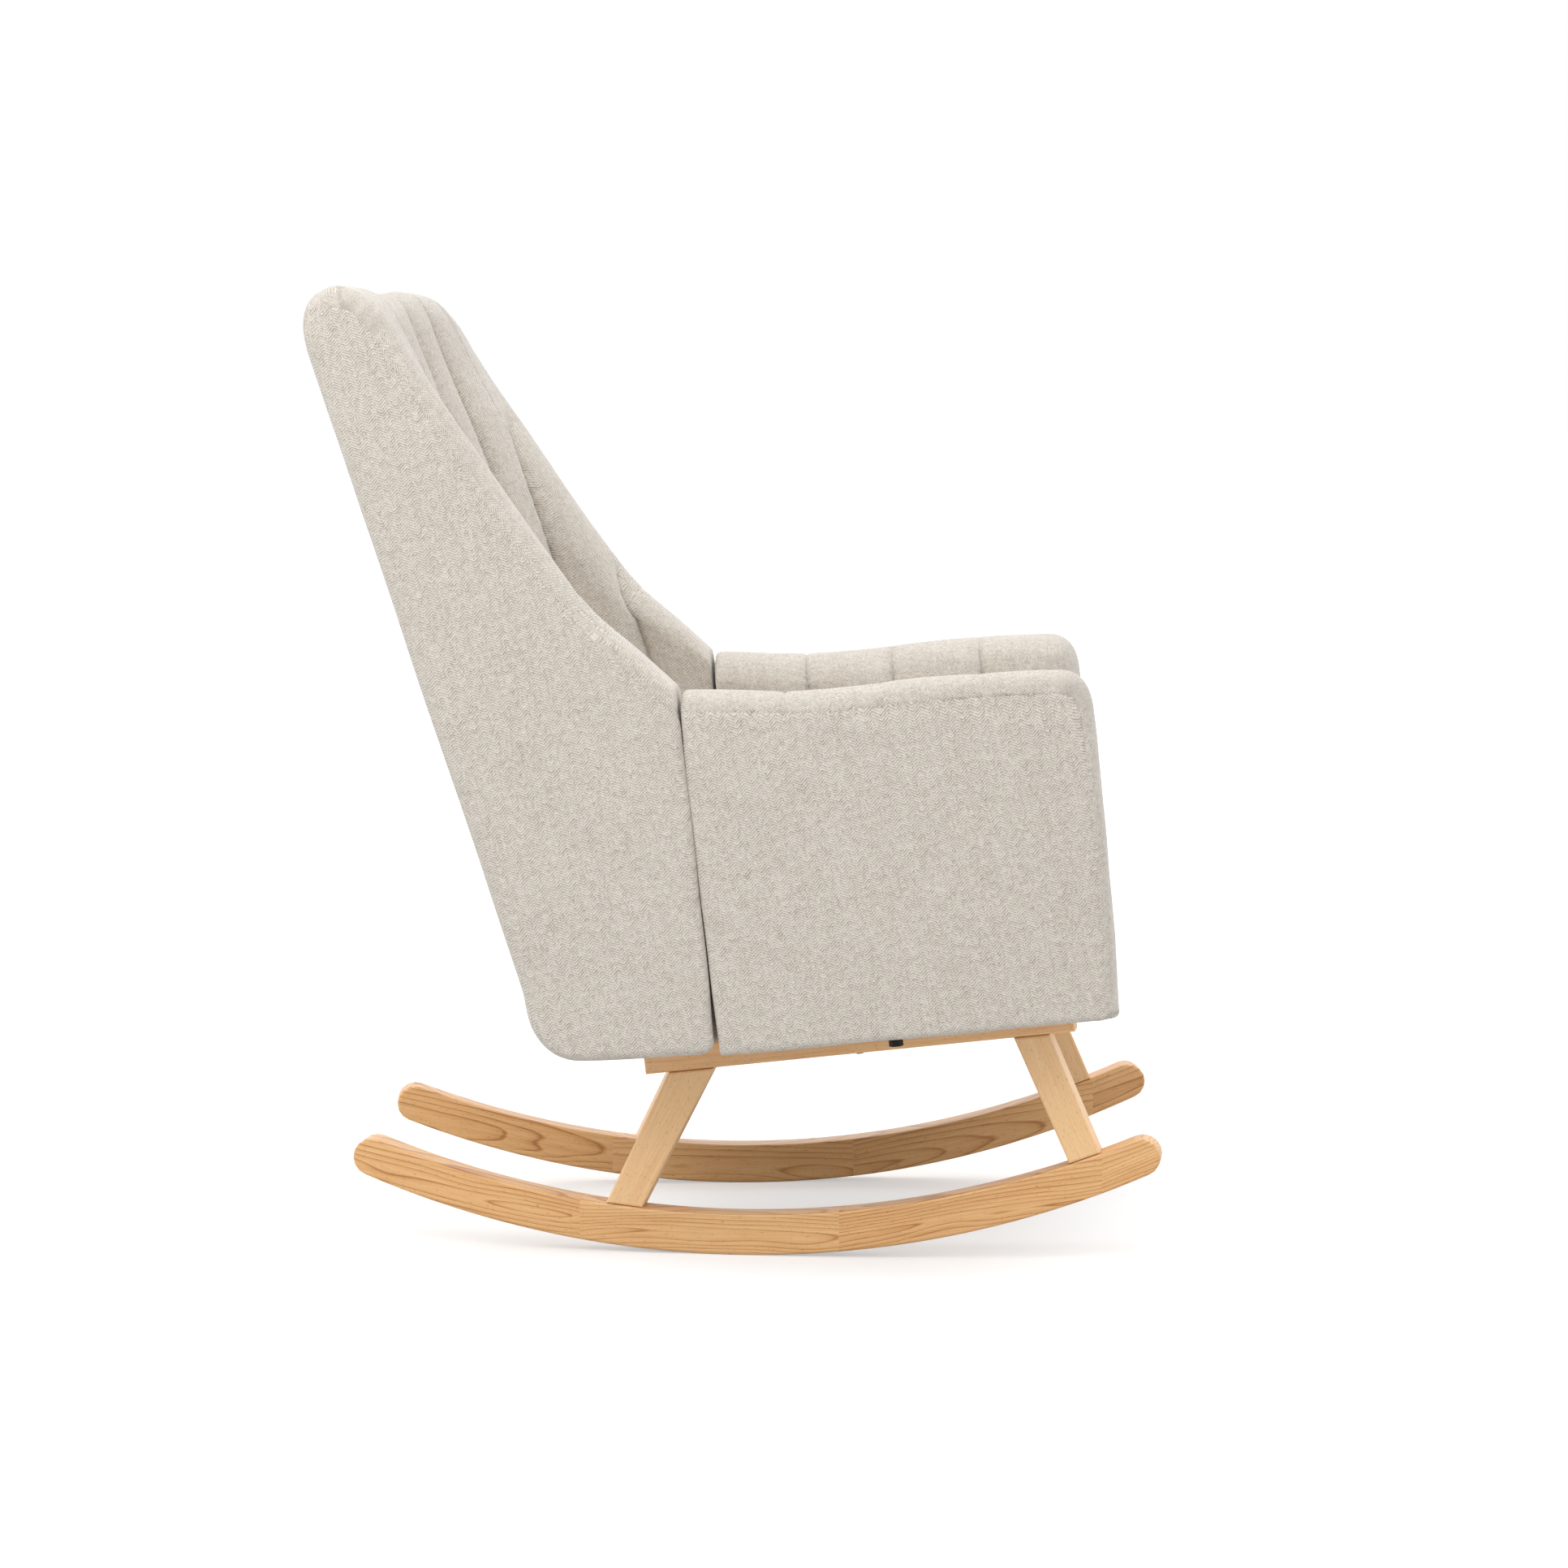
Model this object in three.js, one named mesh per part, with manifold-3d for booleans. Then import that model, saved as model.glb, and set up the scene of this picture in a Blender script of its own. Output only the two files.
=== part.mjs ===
// Upholstered wing-back rocking chair, in millimetres. +Z is up, the chair faces -Y, and it is
// symmetric about X = 0. "right" and "left" are the sitter's: right is -X, left is +X.
// The origin is on the floor, in the middle of the chair's own box.
import * as THREE from "three";
import Module from "manifold-3d";
import { mergeVertices } from "three/addons/utils/BufferGeometryUtils.js";

const wasm = await Module();
wasm.setup();

// ---------------------------------------------------------------- driving dimensions
const GAP = 0.4; // between pieces that touch
const TINY = 1e-9; // stands in for a length of nothing
const CENTRE_Y = 13.1; // middle of the chair's box, in the working frame the outlines use

// side frames: rocker, two legs and a rail in one flat plane, toed out towards the front
const TOE = THREE.MathUtils.degToRad(5.7);
const FRAME_HALF_WIDTH = 239; // outer faces, where the working frame's Y is 0
const FRAME_THICK = 36;
const EDGE_ROUND = 2.5;

const ROCKER_RADIUS = 1035;
const ROCKER_HEIGHT = 42.3;
const ROCKER_CONTACT_Y = 20;
const ROCKER_REAR_TIP = 418;
const ROCKER_FRONT_TIP = -420.5;
const ARC_STEP = THREE.MathUtils.degToRad(1);
const ROUND_END = 0.46; // from a rocker's tip to its round end's centre, in rocker heights
const ROUND_END_STEPS = 8;

const RAIL_HEIGHT = 27;
const RAIL_FRONT_Y = -332.7;
const RAIL_REAR_Y = 109.5;
const RAIL_REAR_Z = 185.6; // underside of the rail at its rear end
const RAIL_SLOPE = 0.1199;
const RAIL_LEAN = Math.atan(RAIL_SLOPE);

const DOWEL_RADIUS = 5;
const DOWEL_LENGTH = 38;
const DOWEL_ROOM = 0.6; // beyond a dowel's ends
const BOLT_RADIUS = 3;
const BOLT_HEAD_RADIUS = 4.6;
const BOLT_HEAD_HEIGHT = 5;
const BOLT_HEAD_CHAMFER = 1.2;
const BOLT_REACH = 24; // of a bolt's shank above the rail
const BOLT_SOCKET_PLAY = 1.5;
const BOLT_X = 236;
const BOLT_STATIONS = { mid: [-112, 3], front: [-232, 9] }; // [y, counterbore depth]

// seat unit: a box on the rails, pitched up at the front
const SEAT_Z = 226.5; // underside of the seat unit where Y is 0
const SEAT_PITCH = Math.atan(0.1205);
const SEAT_HALF_WIDTH = 246;
const SEAT_FRONT = -340;
const SEAT_REAR = 112;
const BOARD = 20;
const BOX_HEIGHT = 82;
const STRAP_WIDTH = 50;
const STRAP_THICK = 2;
const STRAP_COUNT = 4;
const CORNER_BLOCK_LEG = 55;
const CROSS_RAIL_DEPTH = 50;
const PAD_OVERHANG = 16; // of the padded apron in front of the seat box
const DECK_TOP = 100;
const CUSHION_TOP = 198;
const CUSHION_HALF_WIDTH = 250;

// arms
const ARM_OUTER = 352;
const ARM_INNER = 254;
const PANEL_THICK = 11;
const ARM_BOARD_THICK = 18;
const FRAME_FACE = ARM_OUTER - PANEL_THICK - 1; // outer face of the arm and wing boards
const PANEL_ROUND = 3;
const PANEL_DROP = 17; // of an arm's outer panel below the arm's top
const BOARD_INSET = 14; // of an arm's board inside the arm's outline
const ARM_UNDER_Z = 225.6; // underside of the arms where Y is 0
const ARM_UNDER_SLOPE = 0.0985;
const ARM_FOOT_Y = { front: -374, rear: 27 };
const ARM_BOLT_Y = -150;
const ARM_BOLT_HEAD = { radius: 7.2, height: 7.4 };
const ARM_BOLT_WASHER = { radius: 9.5, height: 2.2 };

// joint between an arm and the back: a line up the side, with a gap to each of the two
const JOINT_Y = 28;
const JOINT_Z = 242;
const JOINT_SLOPE = 0.118;
const JOINT_GAP = 1.2;
const ARM_TOP_REAR = 590;

// back: centre panel between two wings
const BACK_BOTTOM_Z = 219;
const BACK_BOTTOM_Y = 203.6;
const RECLINE = 0.331; // run over rise of the back's rear face
const BACK_TOP_Z = 995;
const CROWN_Z = 922; // the back pad wraps over to the rear face above this height
const BACK_THICK = 80;
const BACK_PAD_THICK = 31;
const REAR_PANEL_THICK = 9;
const BACK_RAIL_THICK = 26;
const WING_INNER = 262;
const WING_BOARD_THICK = 15;
const WING_HOLLOW = 24; // space in the wing between its board and its pad
const WING_BOARD_INSET = 16;
const CENTRE_BOTTOM_Z = 228;
const BRACKET_THICK = 3.5;

// ---------------------------------------------------------------- materials
const finish = (color, roughness, metalness = 0) => ({ color, roughness, metalness });
const OAK = finish(0xdcb27c, 0.5);
const PLYWOOD = finish(0xd9bd90, 0.7);
const FABRIC = finish(0xc9c1b5, 0.95);
const LINING = finish(0x3a3a3a, 0.95);
const WEBBING = finish(0x6f655a, 0.9);
const STEEL = finish(0x9a9a98, 0.4, 0.9);
const BLACK_STEEL = finish(0x1d1d1d, 0.5, 0.7);

// ---------------------------------------------------------------- helpers
function named(name, geometry, look) {
  const mesh = new THREE.Mesh(geometry, new THREE.MeshStandardMaterial(look));
  mesh.name = name;
  return mesh;
}

function toSolid(geometry) {
  const bare = geometry.clone();
  bare.deleteAttribute("normal");
  bare.deleteAttribute("uv");
  const merged = mergeVertices(bare, 1e-4);
  const vertProperties = new Float32Array(merged.attributes.position.array);
  const triVerts = new Uint32Array(merged.index.array);
  return new wasm.Manifold(new wasm.Mesh({ numProp: 3, vertProperties, triVerts }));
}

function toGeometry(solid) {
  const mesh = solid.getMesh();
  const geometry = new THREE.BufferGeometry();
  geometry.setAttribute("position", new THREE.BufferAttribute(mesh.vertProperties, 3));
  geometry.setIndex(new THREE.BufferAttribute(mesh.triVerts, 1));
  return geometry;
}

function cut(geometry, cutters) {
  let solid = toSolid(geometry);
  for (const cutter of cutters) solid = solid.subtract(toSolid(cutter));
  return toGeometry(solid);
}

// a closed outline from corners [y, z, fillet radius]
function outline(corners) {
  const shape = new THREE.Shape();
  const count = corners.length;
  corners.forEach(([y, z, radius = 0], i) => {
    const here = new THREE.Vector2(y, z);
    const before = new THREE.Vector2(...corners[(i + count - 1) % count].slice(0, 2)).sub(here);
    const after = new THREE.Vector2(...corners[(i + 1) % count].slice(0, 2)).sub(here);
    const half = Math.abs(before.angle() - after.angle()) / 2;
    const reach = radius / Math.abs(Math.tan(half));
    const start = here.clone().add(before.setLength(reach || TINY));
    const end = here.clone().add(after.setLength(reach || TINY));
    if (i === 0) shape.moveTo(start.x, start.y);
    else shape.lineTo(start.x, start.y);
    if (radius > 0) shape.quadraticCurveTo(y, z, end.x, end.y);
  });
  shape.closePath();
  return shape;
}

const ALONG_X = new THREE.Matrix4().makeBasis(
  new THREE.Vector3(0, 1, 0),
  new THREE.Vector3(0, 0, 1),
  new THREE.Vector3(1, 0, 0),
);

// a side outline in (y, z), extruded from x = from to x = to, with optional rounded edges
function prism(shape, from, to, round = 0) {
  const low = Math.min(from, to);
  const geometry = new THREE.ExtrudeGeometry(shape, {
    depth: Math.abs(to - from) - 2 * round,
    curveSegments: 5,
    bevelEnabled: round > 0,
    bevelThickness: round,
    bevelSize: round,
    bevelOffset: -round,
    bevelSegments: 2,
  });
  geometry.applyMatrix4(ALONG_X);
  return geometry.translate(low + round, 0, 0);
}

// a plan outline in (x, y), extruded from z = low to z = high
function slab(points, low, high) {
  const shape = new THREE.Shape(points.map(([x, y]) => new THREE.Vector2(x, y)));
  const geometry = new THREE.ExtrudeGeometry(shape, { depth: high - low, bevelEnabled: false });
  return geometry.translate(0, 0, low);
}

function block(x, y, z) {
  const geometry = new THREE.BoxGeometry(x[1] - x[0], y[1] - y[0], z[1] - z[0]);
  return geometry.translate((x[0] + x[1]) / 2, (y[0] + y[1]) / 2, (z[0] + z[1]) / 2);
}

// a round rod between two points given as [x, y, z]
function rod(start, end, radius, sides = 16) {
  const from = new THREE.Vector3(...start);
  const along = new THREE.Vector3(...end).sub(from);
  const geometry = new THREE.CylinderGeometry(radius, radius, along.length(), sides);
  geometry.translate(0, along.length() / 2, 0);
  const up = new THREE.Vector3(0, 1, 0);
  const turn = new THREE.Quaternion().setFromUnitVectors(up, along.clone().normalize());
  return geometry.applyQuaternion(turn).translate(...from.toArray());
}

// ---------------------------------------------------------------- side frames
const rockerZ = (y) =>
  ROCKER_RADIUS - Math.sqrt(ROCKER_RADIUS ** 2 - (y - ROCKER_CONTACT_Y) ** 2);
const rockerTopZ = (y) => rockerZ(y) + ROCKER_HEIGHT;
const railZ = (y) => RAIL_REAR_Z + (RAIL_REAR_Y - y) * RAIL_SLOPE;

// angle along the rocker's arc at which a round end has its centre
function endAngle(tip) {
  const inward = -Math.sign(tip) * ROUND_END * ROCKER_HEIGHT;
  return Math.asin((tip + inward - ROCKER_CONTACT_Y) / ROCKER_RADIUS);
}

function rockerShape() {
  const rear = endAngle(ROCKER_REAR_TIP);
  const front = endAngle(ROCKER_FRONT_TIP);
  const steps = [];
  for (let a = ARC_STEP / 2; a < rear; a += ARC_STEP) steps.push(a);
  for (let a = -ARC_STEP / 2; a > front; a -= ARC_STEP) steps.unshift(a);
  const onArc = (a, lift) =>
    new THREE.Vector2(
      ROCKER_CONTACT_Y + ROCKER_RADIUS * Math.sin(a),
      ROCKER_RADIUS * (1 - Math.cos(a)) + lift,
    );
  const roundEnd = (a, from) => {
    const centre = onArc(a, ROCKER_HEIGHT / 2);
    const radius = (ROCKER_HEIGHT / 2) * Math.cos(a);
    const points = [];
    for (let i = 0; i <= ROUND_END_STEPS; i += 1) {
      const t = from + a + (Math.PI * i) / ROUND_END_STEPS;
      const spoke = new THREE.Vector2(Math.cos(t), Math.sin(t));
      points.push(centre.clone().addScaledVector(spoke, radius));
    }
    return points;
  };
  const inner = steps.filter((a) => a > front + ARC_STEP / 2 && a < rear - ARC_STEP / 2);
  const bottom = inner.map((a) => onArc(a, 0));
  const top = inner.map((a) => onArc(a, ROCKER_HEIGHT)).reverse();
  const points = [...bottom, ...roundEnd(rear, -Math.PI / 2), ...top];
  return new THREE.Shape([...points, ...roundEnd(front, Math.PI / 2)]);
}

// each leg's two long edges as [y at the top, z, y at the foot, z]
const LEGS = {
  front: { frontEdge: [-306.5, 236, -356.8, 119], rearEdge: [-270.4, 231, -327.6, 103] },
  rear: { frontEdge: [38, 195, 113.6, 47], rearEdge: [85.4, 188, 151.8, 50] },
};

// where a leg's edge meets a curve z = height(y)
function meet([y0, z0, y1, z1], height) {
  const slope = (y1 - y0) / (z1 - z0);
  let y = y0;
  for (let i = 0; i < 30; i += 1) y = y0 + slope * (height(y) - z0);
  return [y, height(y)];
}

function legShape({ frontEdge, rearEdge }) {
  const foot = (y) => rockerTopZ(y) + GAP;
  const head = (y) => railZ(y) - GAP;
  return outline([
    meet(frontEdge, foot),
    meet(rearEdge, foot),
    meet(rearEdge, head),
    meet(frontEdge, head),
  ]);
}

// the two dowels of a leg, each as [lower point, upper point] in (y, z)
function dowelLines({ frontEdge, rearEdge }) {
  const middle = frontEdge.map((value, i) => (value + rearEdge[i]) / 2);
  const foot = new THREE.Vector2(...meet(middle, rockerTopZ));
  const head = new THREE.Vector2(...meet(middle, railZ));
  const along = head.clone().sub(foot).normalize();
  const line = (centre) => [-DOWEL_LENGTH / 2, DOWEL_LENGTH / 2].map((d) =>
    centre.clone().addScaledVector(along, d).toArray(),
  );
  return { foot: line(foot), head: line(head) };
}

function boltLine(y, depth) {
  const axis = new THREE.Vector2(Math.sin(RAIL_LEAN), Math.cos(RAIL_LEAN));
  const mouth = new THREE.Vector2(y, railZ(y));
  const at = (d) => mouth.clone().addScaledVector(axis, d);
  return { mouth: at(-BOLT_HEAD_HEIGHT - 1), seat: at(depth), through: at(RAIL_HEIGHT + 30) };
}

function sideFrame(side) {
  const sign = side === "left" ? 1 : -1;
  const group = new THREE.Group();
  group.position.x = sign * FRAME_HALF_WIDTH;
  group.rotation.z = sign * TOE;
  const inner = -sign * FRAME_THICK;
  const middle = inner / 2;
  const holes = [];

  for (const [place, leg] of Object.entries(LEGS)) {
    const lines = dowelLines(leg);
    const legHoles = [];
    for (const [end, [low, high]] of Object.entries(lines)) {
      const from = [middle, ...low];
      const to = [middle, ...high];
      const dowel = rod(from, to, DOWEL_RADIUS);
      group.add(named(`${place}_leg_${end}_dowel_${side}`, dowel, PLYWOOD));
      const along = new THREE.Vector3(...to).sub(new THREE.Vector3(...from)).setLength(DOWEL_ROOM);
      const below = new THREE.Vector3(...from).sub(along).toArray();
      const above = new THREE.Vector3(...to).add(along).toArray();
      legHoles.push(rod(below, above, DOWEL_RADIUS + GAP));
    }
    holes.push(...legHoles);
    const timber = prism(legShape(leg), 0, inner, EDGE_ROUND);
    group.add(named(`${place}_leg_${side}`, cut(timber, legHoles), OAK));
  }

  const rocker = prism(rockerShape(), 0, inner, EDGE_ROUND);
  group.add(named(`rocker_${side}`, cut(rocker, holes), OAK));

  const rise = RAIL_HEIGHT * Math.sin(RAIL_LEAN);
  const rail = outline([
    [RAIL_REAR_Y, railZ(RAIL_REAR_Y)],
    [RAIL_REAR_Y + rise, railZ(RAIL_REAR_Y) + RAIL_HEIGHT],
    [RAIL_FRONT_Y + rise, railZ(RAIL_FRONT_Y) + RAIL_HEIGHT],
    [RAIL_FRONT_Y, railZ(RAIL_FRONT_Y)],
  ].reverse());
  const bolts = Object.entries(BOLT_STATIONS).map(([station, [worldY, depth]]) => {
    const place = new THREE.Vector2(sign * (BOLT_X - FRAME_HALF_WIDTH), worldY);
    const { x, y } = place.rotateAround(new THREE.Vector2(), -sign * TOE);
    return { station, depth, x, y };
  });
  const boltHoles = bolts.flatMap(({ x, y, depth }) => {
    const { mouth, seat, through } = boltLine(y, depth);
    return [
      rod([x, ...mouth.toArray()], [x, ...seat.toArray()], BOLT_HEAD_RADIUS + GAP),
      rod([x, ...mouth.toArray()], [x, ...through.toArray()], BOLT_RADIUS + GAP),
    ];
  });
  const railSolid = cut(prism(rail, 0, inner, EDGE_ROUND), [...holes, ...boltHoles]);
  group.add(named(`side_rail_${side}`, railSolid, OAK));
  for (const { station, depth, x, y } of bolts) {
    group.add(railBolt(`rail_bolt_${station}_${side}`, x, y, depth));
  }
  return group;
}

function railBolt(name, x, y, depth) {
  const { seat } = boltLine(y, depth);
  const shank = RAIL_HEIGHT - depth + BOLT_REACH;
  const profile = [
    [0, -BOLT_HEAD_HEIGHT],
    [BOLT_HEAD_RADIUS * 0.8, -BOLT_HEAD_HEIGHT],
    [BOLT_HEAD_RADIUS, -BOLT_HEAD_HEIGHT + BOLT_HEAD_CHAMFER],
    [BOLT_HEAD_RADIUS, -GAP],
    [BOLT_RADIUS, -GAP],
    [BOLT_RADIUS, shank],
    [0, shank],
  ].map(([r, h]) => new THREE.Vector2(r, h));
  const geometry = new THREE.LatheGeometry(profile, 18);
  geometry.rotateX(Math.PI / 2 - RAIL_LEAN);
  return named(name, geometry.translate(x, ...seat.toArray()), STEEL);
}

// ---------------------------------------------------------------- seat unit
function crossRail(name, front) {
  const rear = front + CROSS_RAIL_DEPTH;
  const reach = (y) => FRAME_HALF_WIDTH - (FRAME_THICK + 2) / Math.cos(TOE) - y * Math.tan(TOE);
  const plan = [
    [-reach(front), front],
    [reach(front), front],
    [reach(rear), rear],
    [-reach(rear), rear],
  ];
  return named(name, slab(plan, -RAIL_HEIGHT + 1, -GAP), OAK);
}

function boltSockets() {
  const sockets = [];
  for (const sign of [-1, 1]) {
    for (const [y] of Object.values(BOLT_STATIONS)) {
      const x = sign * BOLT_X;
      const along = (y + RAIL_HEIGHT * Math.sin(SEAT_PITCH)) / Math.cos(SEAT_PITCH);
      sockets.push(rod([x, along, -5], [x, along, 27], BOLT_RADIUS + BOLT_SOCKET_PLAY));
    }
  }
  return sockets;
}

function seatUnit() {
  const group = new THREE.Group();
  group.position.z = SEAT_Z;
  group.rotation.x = -SEAT_PITCH;
  const inside = SEAT_HALF_WIDTH - BOARD - GAP;
  const height = [GAP, BOX_HEIGHT];
  const sockets = boltSockets();

  for (const [side, sign] of [["right", -1], ["left", 1]]) {
    const x = [sign * SEAT_HALF_WIDTH, sign * (SEAT_HALF_WIDTH - BOARD)].sort((a, b) => a - b);
    const board = block(x, [SEAT_FRONT, SEAT_REAR], height);
    group.add(named(`seat_side_board_${side}`, cut(board, sockets), PLYWOOD));
    group.add(named(`back_bracket_${side}`, backBracket(sign), STEEL));
  }
  const across = [-inside, inside];
  const frontBoard = block(across, [SEAT_FRONT, SEAT_FRONT + BOARD], height);
  const rearBoard = block(across, [SEAT_REAR - BOARD, SEAT_REAR], height);
  group.add(named("seat_front_board", frontBoard, PLYWOOD));
  group.add(named("seat_rear_board", rearBoard, PLYWOOD));
  group.add(crossRail("cross_rail_front", SEAT_FRONT + 35));
  group.add(crossRail("cross_rail_rear", SEAT_REAR - 65));
  cornerBlocks().forEach((piece) => group.add(piece));

  const clear = SEAT_HALF_WIDTH - BOARD - 1;
  const lining = block([-clear, clear], [SEAT_FRONT + BOARD + 1, SEAT_REAR - BOARD - 1], [1, 2.2]);
  group.add(named("dust_cover", lining, LINING));
  seatStraps().forEach((piece) => group.add(piece));

  const deck = outline([
    [SEAT_FRONT - 2, BOX_HEIGHT + STRAP_THICK + 1],
    [SEAT_REAR + 18, BOX_HEIGHT + STRAP_THICK + 1],
    [SEAT_REAR + 20, DECK_TOP],
    [SEAT_FRONT - 2, DECK_TOP],
  ]);
  group.add(named("seat_deck_pad", prism(deck, -ARM_INNER + 2, ARM_INNER - 2), FABRIC));
  const apron = outline([
    [SEAT_FRONT - PAD_OVERHANG, 2, 6],
    [SEAT_FRONT - 3, 2],
    [SEAT_FRONT - 3, DECK_TOP],
    [SEAT_FRONT - PAD_OVERHANG, DECK_TOP, 8],
  ]);
  group.add(named("seat_apron_pad", prism(apron, -ARM_INNER + 1, ARM_INNER - 1), FABRIC));
  const cushion = outline([
    [SEAT_FRONT - 12, DECK_TOP + 1, 16],
    [SEAT_REAR + 28, DECK_TOP + 1, 14],
    [SEAT_REAR + 47, CUSHION_TOP, 22],
    [SEAT_FRONT - 12, CUSHION_TOP, 30],
  ]);
  const cushionSolid = prism(cushion, -CUSHION_HALF_WIDTH, CUSHION_HALF_WIDTH, 8);
  group.add(named("seat_cushion", cushionSolid, FABRIC));
  return group;
}

function cornerBlocks() {
  const x = SEAT_HALF_WIDTH - BOARD - 1;
  const pieces = [];
  for (const [side, sx] of [["right", -1], ["left", 1]]) {
    for (const [place, sy, y] of [
      ["front", 1, SEAT_FRONT + BOARD + 1],
      ["rear", -1, SEAT_REAR - BOARD - 1],
    ]) {
      const plan = [
        [sx * x, y],
        [sx * (x - CORNER_BLOCK_LEG), y],
        [sx * x, y + sy * CORNER_BLOCK_LEG],
      ];
      if (sx * sy > 0) plan.reverse();
      const piece = slab(plan, 6, BOX_HEIGHT - 8);
      pieces.push(named(`corner_block_${place}_${side}`, piece, PLYWOOD));
    }
  }
  return pieces;
}

function seatStraps() {
  const pitch = (2 * SEAT_HALF_WIDTH) / (STRAP_COUNT + 0.5);
  const height = [BOX_HEIGHT + GAP, BOX_HEIGHT + GAP + STRAP_THICK];
  return Array.from({ length: STRAP_COUNT }, (_, i) => {
    const x = (i - (STRAP_COUNT - 1) / 2) * pitch;
    const width = [x - STRAP_WIDTH / 2, x + STRAP_WIDTH / 2];
    const strap = block(width, [SEAT_FRONT + 2, SEAT_REAR - 2], height);
    return named(`seat_strap_${i + 1}`, strap, WEBBING);
  });
}

// bent steel plate: one flange on the seat's rear board, one tab under the back's bottom rail
function backBracket(sign) {
  const y = SEAT_REAR + GAP;
  const shape = outline([
    [y, 3],
    [y + 78, 13],
    [y + 78, 13 + BRACKET_THICK],
    [y + BRACKET_THICK, 3 + BRACKET_THICK],
    [y + BRACKET_THICK, 62],
    [y, 62],
  ]);
  return prism(shape, sign * 160, sign * 200);
}

// ---------------------------------------------------------------- arms
// the arms' underside, which dips below the tops of the rails towards the front
const armBottomZ = (y) => ARM_UNDER_Z - y * ARM_UNDER_SLOPE;

// the joint line between an arm and the back, as y at a height z
const jointY = (z) => JOINT_Y + (z - JOINT_Z) * JOINT_SLOPE;

// arm outline: shrink moves the top, front and rear edges inwards, drop lowers the top, and
// bottomLift raises the bottom
function armShape(shrink, drop, bottomLift) {
  const rear = (z) => jointY(z) - JOINT_GAP - shrink;
  const rearFoot = armBottomZ(ARM_FOOT_Y.rear) + bottomLift;
  const frontFoot = armBottomZ(ARM_FOOT_Y.front) + bottomLift;
  const top = (z) => z - drop - shrink;
  return outline([
    [rear(rearFoot), rearFoot],
    [rear(ARM_TOP_REAR), top(591), 5],
    [-20, top(588)],
    [-90, top(591)],
    [-160, top(600)],
    [-230, top(607)],
    [-295, top(610)],
    [-340 + shrink, top(611 + drop * 0.2), 24 - shrink],
    [-358 + shrink, 464],
    [-370 + shrink, 345],
    [-370 - (345 - frontFoot) * 0.05 + shrink, frontFoot, 20 - shrink],
  ].reverse());
}

// the room that an arm's underside leaves for the rail beneath it
function railClearance(sign) {
  const front = RAIL_FRONT_Y - 60;
  const height = RAIL_HEIGHT + 1.5;
  const side = outline([
    [RAIL_REAR_Y, railZ(RAIL_REAR_Y)],
    [RAIL_REAR_Y, railZ(RAIL_REAR_Y) + height],
    [front, railZ(front) + height],
    [front, railZ(front)],
  ].reverse());
  const room = prism(side, sign * 2, -sign * (FRAME_THICK + 20));
  return room.rotateZ(sign * TOE).translate(sign * FRAME_HALF_WIDTH, 0, 0);
}

function arm(side) {
  const sign = side === "left" ? 1 : -1;
  const group = new THREE.Group();
  const boardInner = FRAME_FACE - ARM_BOARD_THICK;
  const pocketShape = armShape(BOARD_INSET - 0.5, 0, -30);
  const panelShape = armShape(1, PANEL_DROP, 0.8);
  const board = prism(armShape(BOARD_INSET, 0, 1), sign * boardInner, sign * FRAME_FACE);
  const pocket = prism(pocketShape, sign * (boardInner - GAP), sign * ARM_OUTER);
  const pad = prism(armShape(0, 0, 1), sign * ARM_INNER, sign * (FRAME_FACE + GAP));
  const panel = prism(panelShape, sign * (FRAME_FACE + 1), sign * ARM_OUTER, PANEL_ROUND);
  group.add(named(`arm_board_${side}`, board, PLYWOOD));
  group.add(named(`arm_pad_${side}`, cut(pad, [pocket, railClearance(sign)]), FABRIC));
  group.add(named(`arm_outer_panel_${side}`, panel, FABRIC));
  group.add(armBolt(side, (sign * (boardInner + FRAME_FACE)) / 2));
  return group;
}

// black hex-headed bolt with its washer, up into the arm from below
function armBolt(side, x) {
  const disc = ({ radius, height }, sides, z) =>
    new THREE.CylinderGeometry(radius, radius, height, sides)
      .rotateX(Math.PI / 2)
      .translate(0, 0, z);
  const head = disc(ARM_BOLT_HEAD, 6, 0.5 - ARM_BOLT_WASHER.height - ARM_BOLT_HEAD.height / 2);
  const washer = disc(ARM_BOLT_WASHER, 20, -ARM_BOLT_WASHER.height / 2);
  const bolt = toGeometry(toSolid(head).add(toSolid(washer)));
  bolt.rotateX(-Math.atan(ARM_UNDER_SLOPE));
  bolt.translate(x, ARM_BOLT_Y, armBottomZ(ARM_BOLT_Y) + 0.3);
  return named(`arm_bolt_${side}`, bolt, BLACK_STEEL);
}

// ---------------------------------------------------------------- back
// a point of the back's section: offset forward from the rear face, at height z
const backPoint = (offset, z, radius) => [
  BACK_BOTTOM_Y + (z - BACK_BOTTOM_Z) * RECLINE - offset,
  z,
  radius,
];

// wing outline: shrink moves every edge but the bottom inwards
function wingShape(shrink, bottom) {
  const edge = (y, z, radius) => [y + shrink * 0.75, z - shrink * 0.65, radius];
  const front = (z) => jointY(z) + JOINT_GAP + shrink;
  const top = BACK_TOP_Z - shrink;
  return outline([
    [front(bottom + 5), bottom + 5],
    [BACK_BOTTOM_Y - 80, bottom],
    backPoint(shrink, bottom, 44),
    backPoint(shrink, top, 38 - 1.3 * shrink),
    [388, top, 24 - shrink],
    edge(345, 936),
    edge(287, 843),
    edge(155, 663),
    edge(113, 624),
    [front(ARM_TOP_REAR), ARM_TOP_REAR - shrink * 0.3],
  ]);
}

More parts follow.
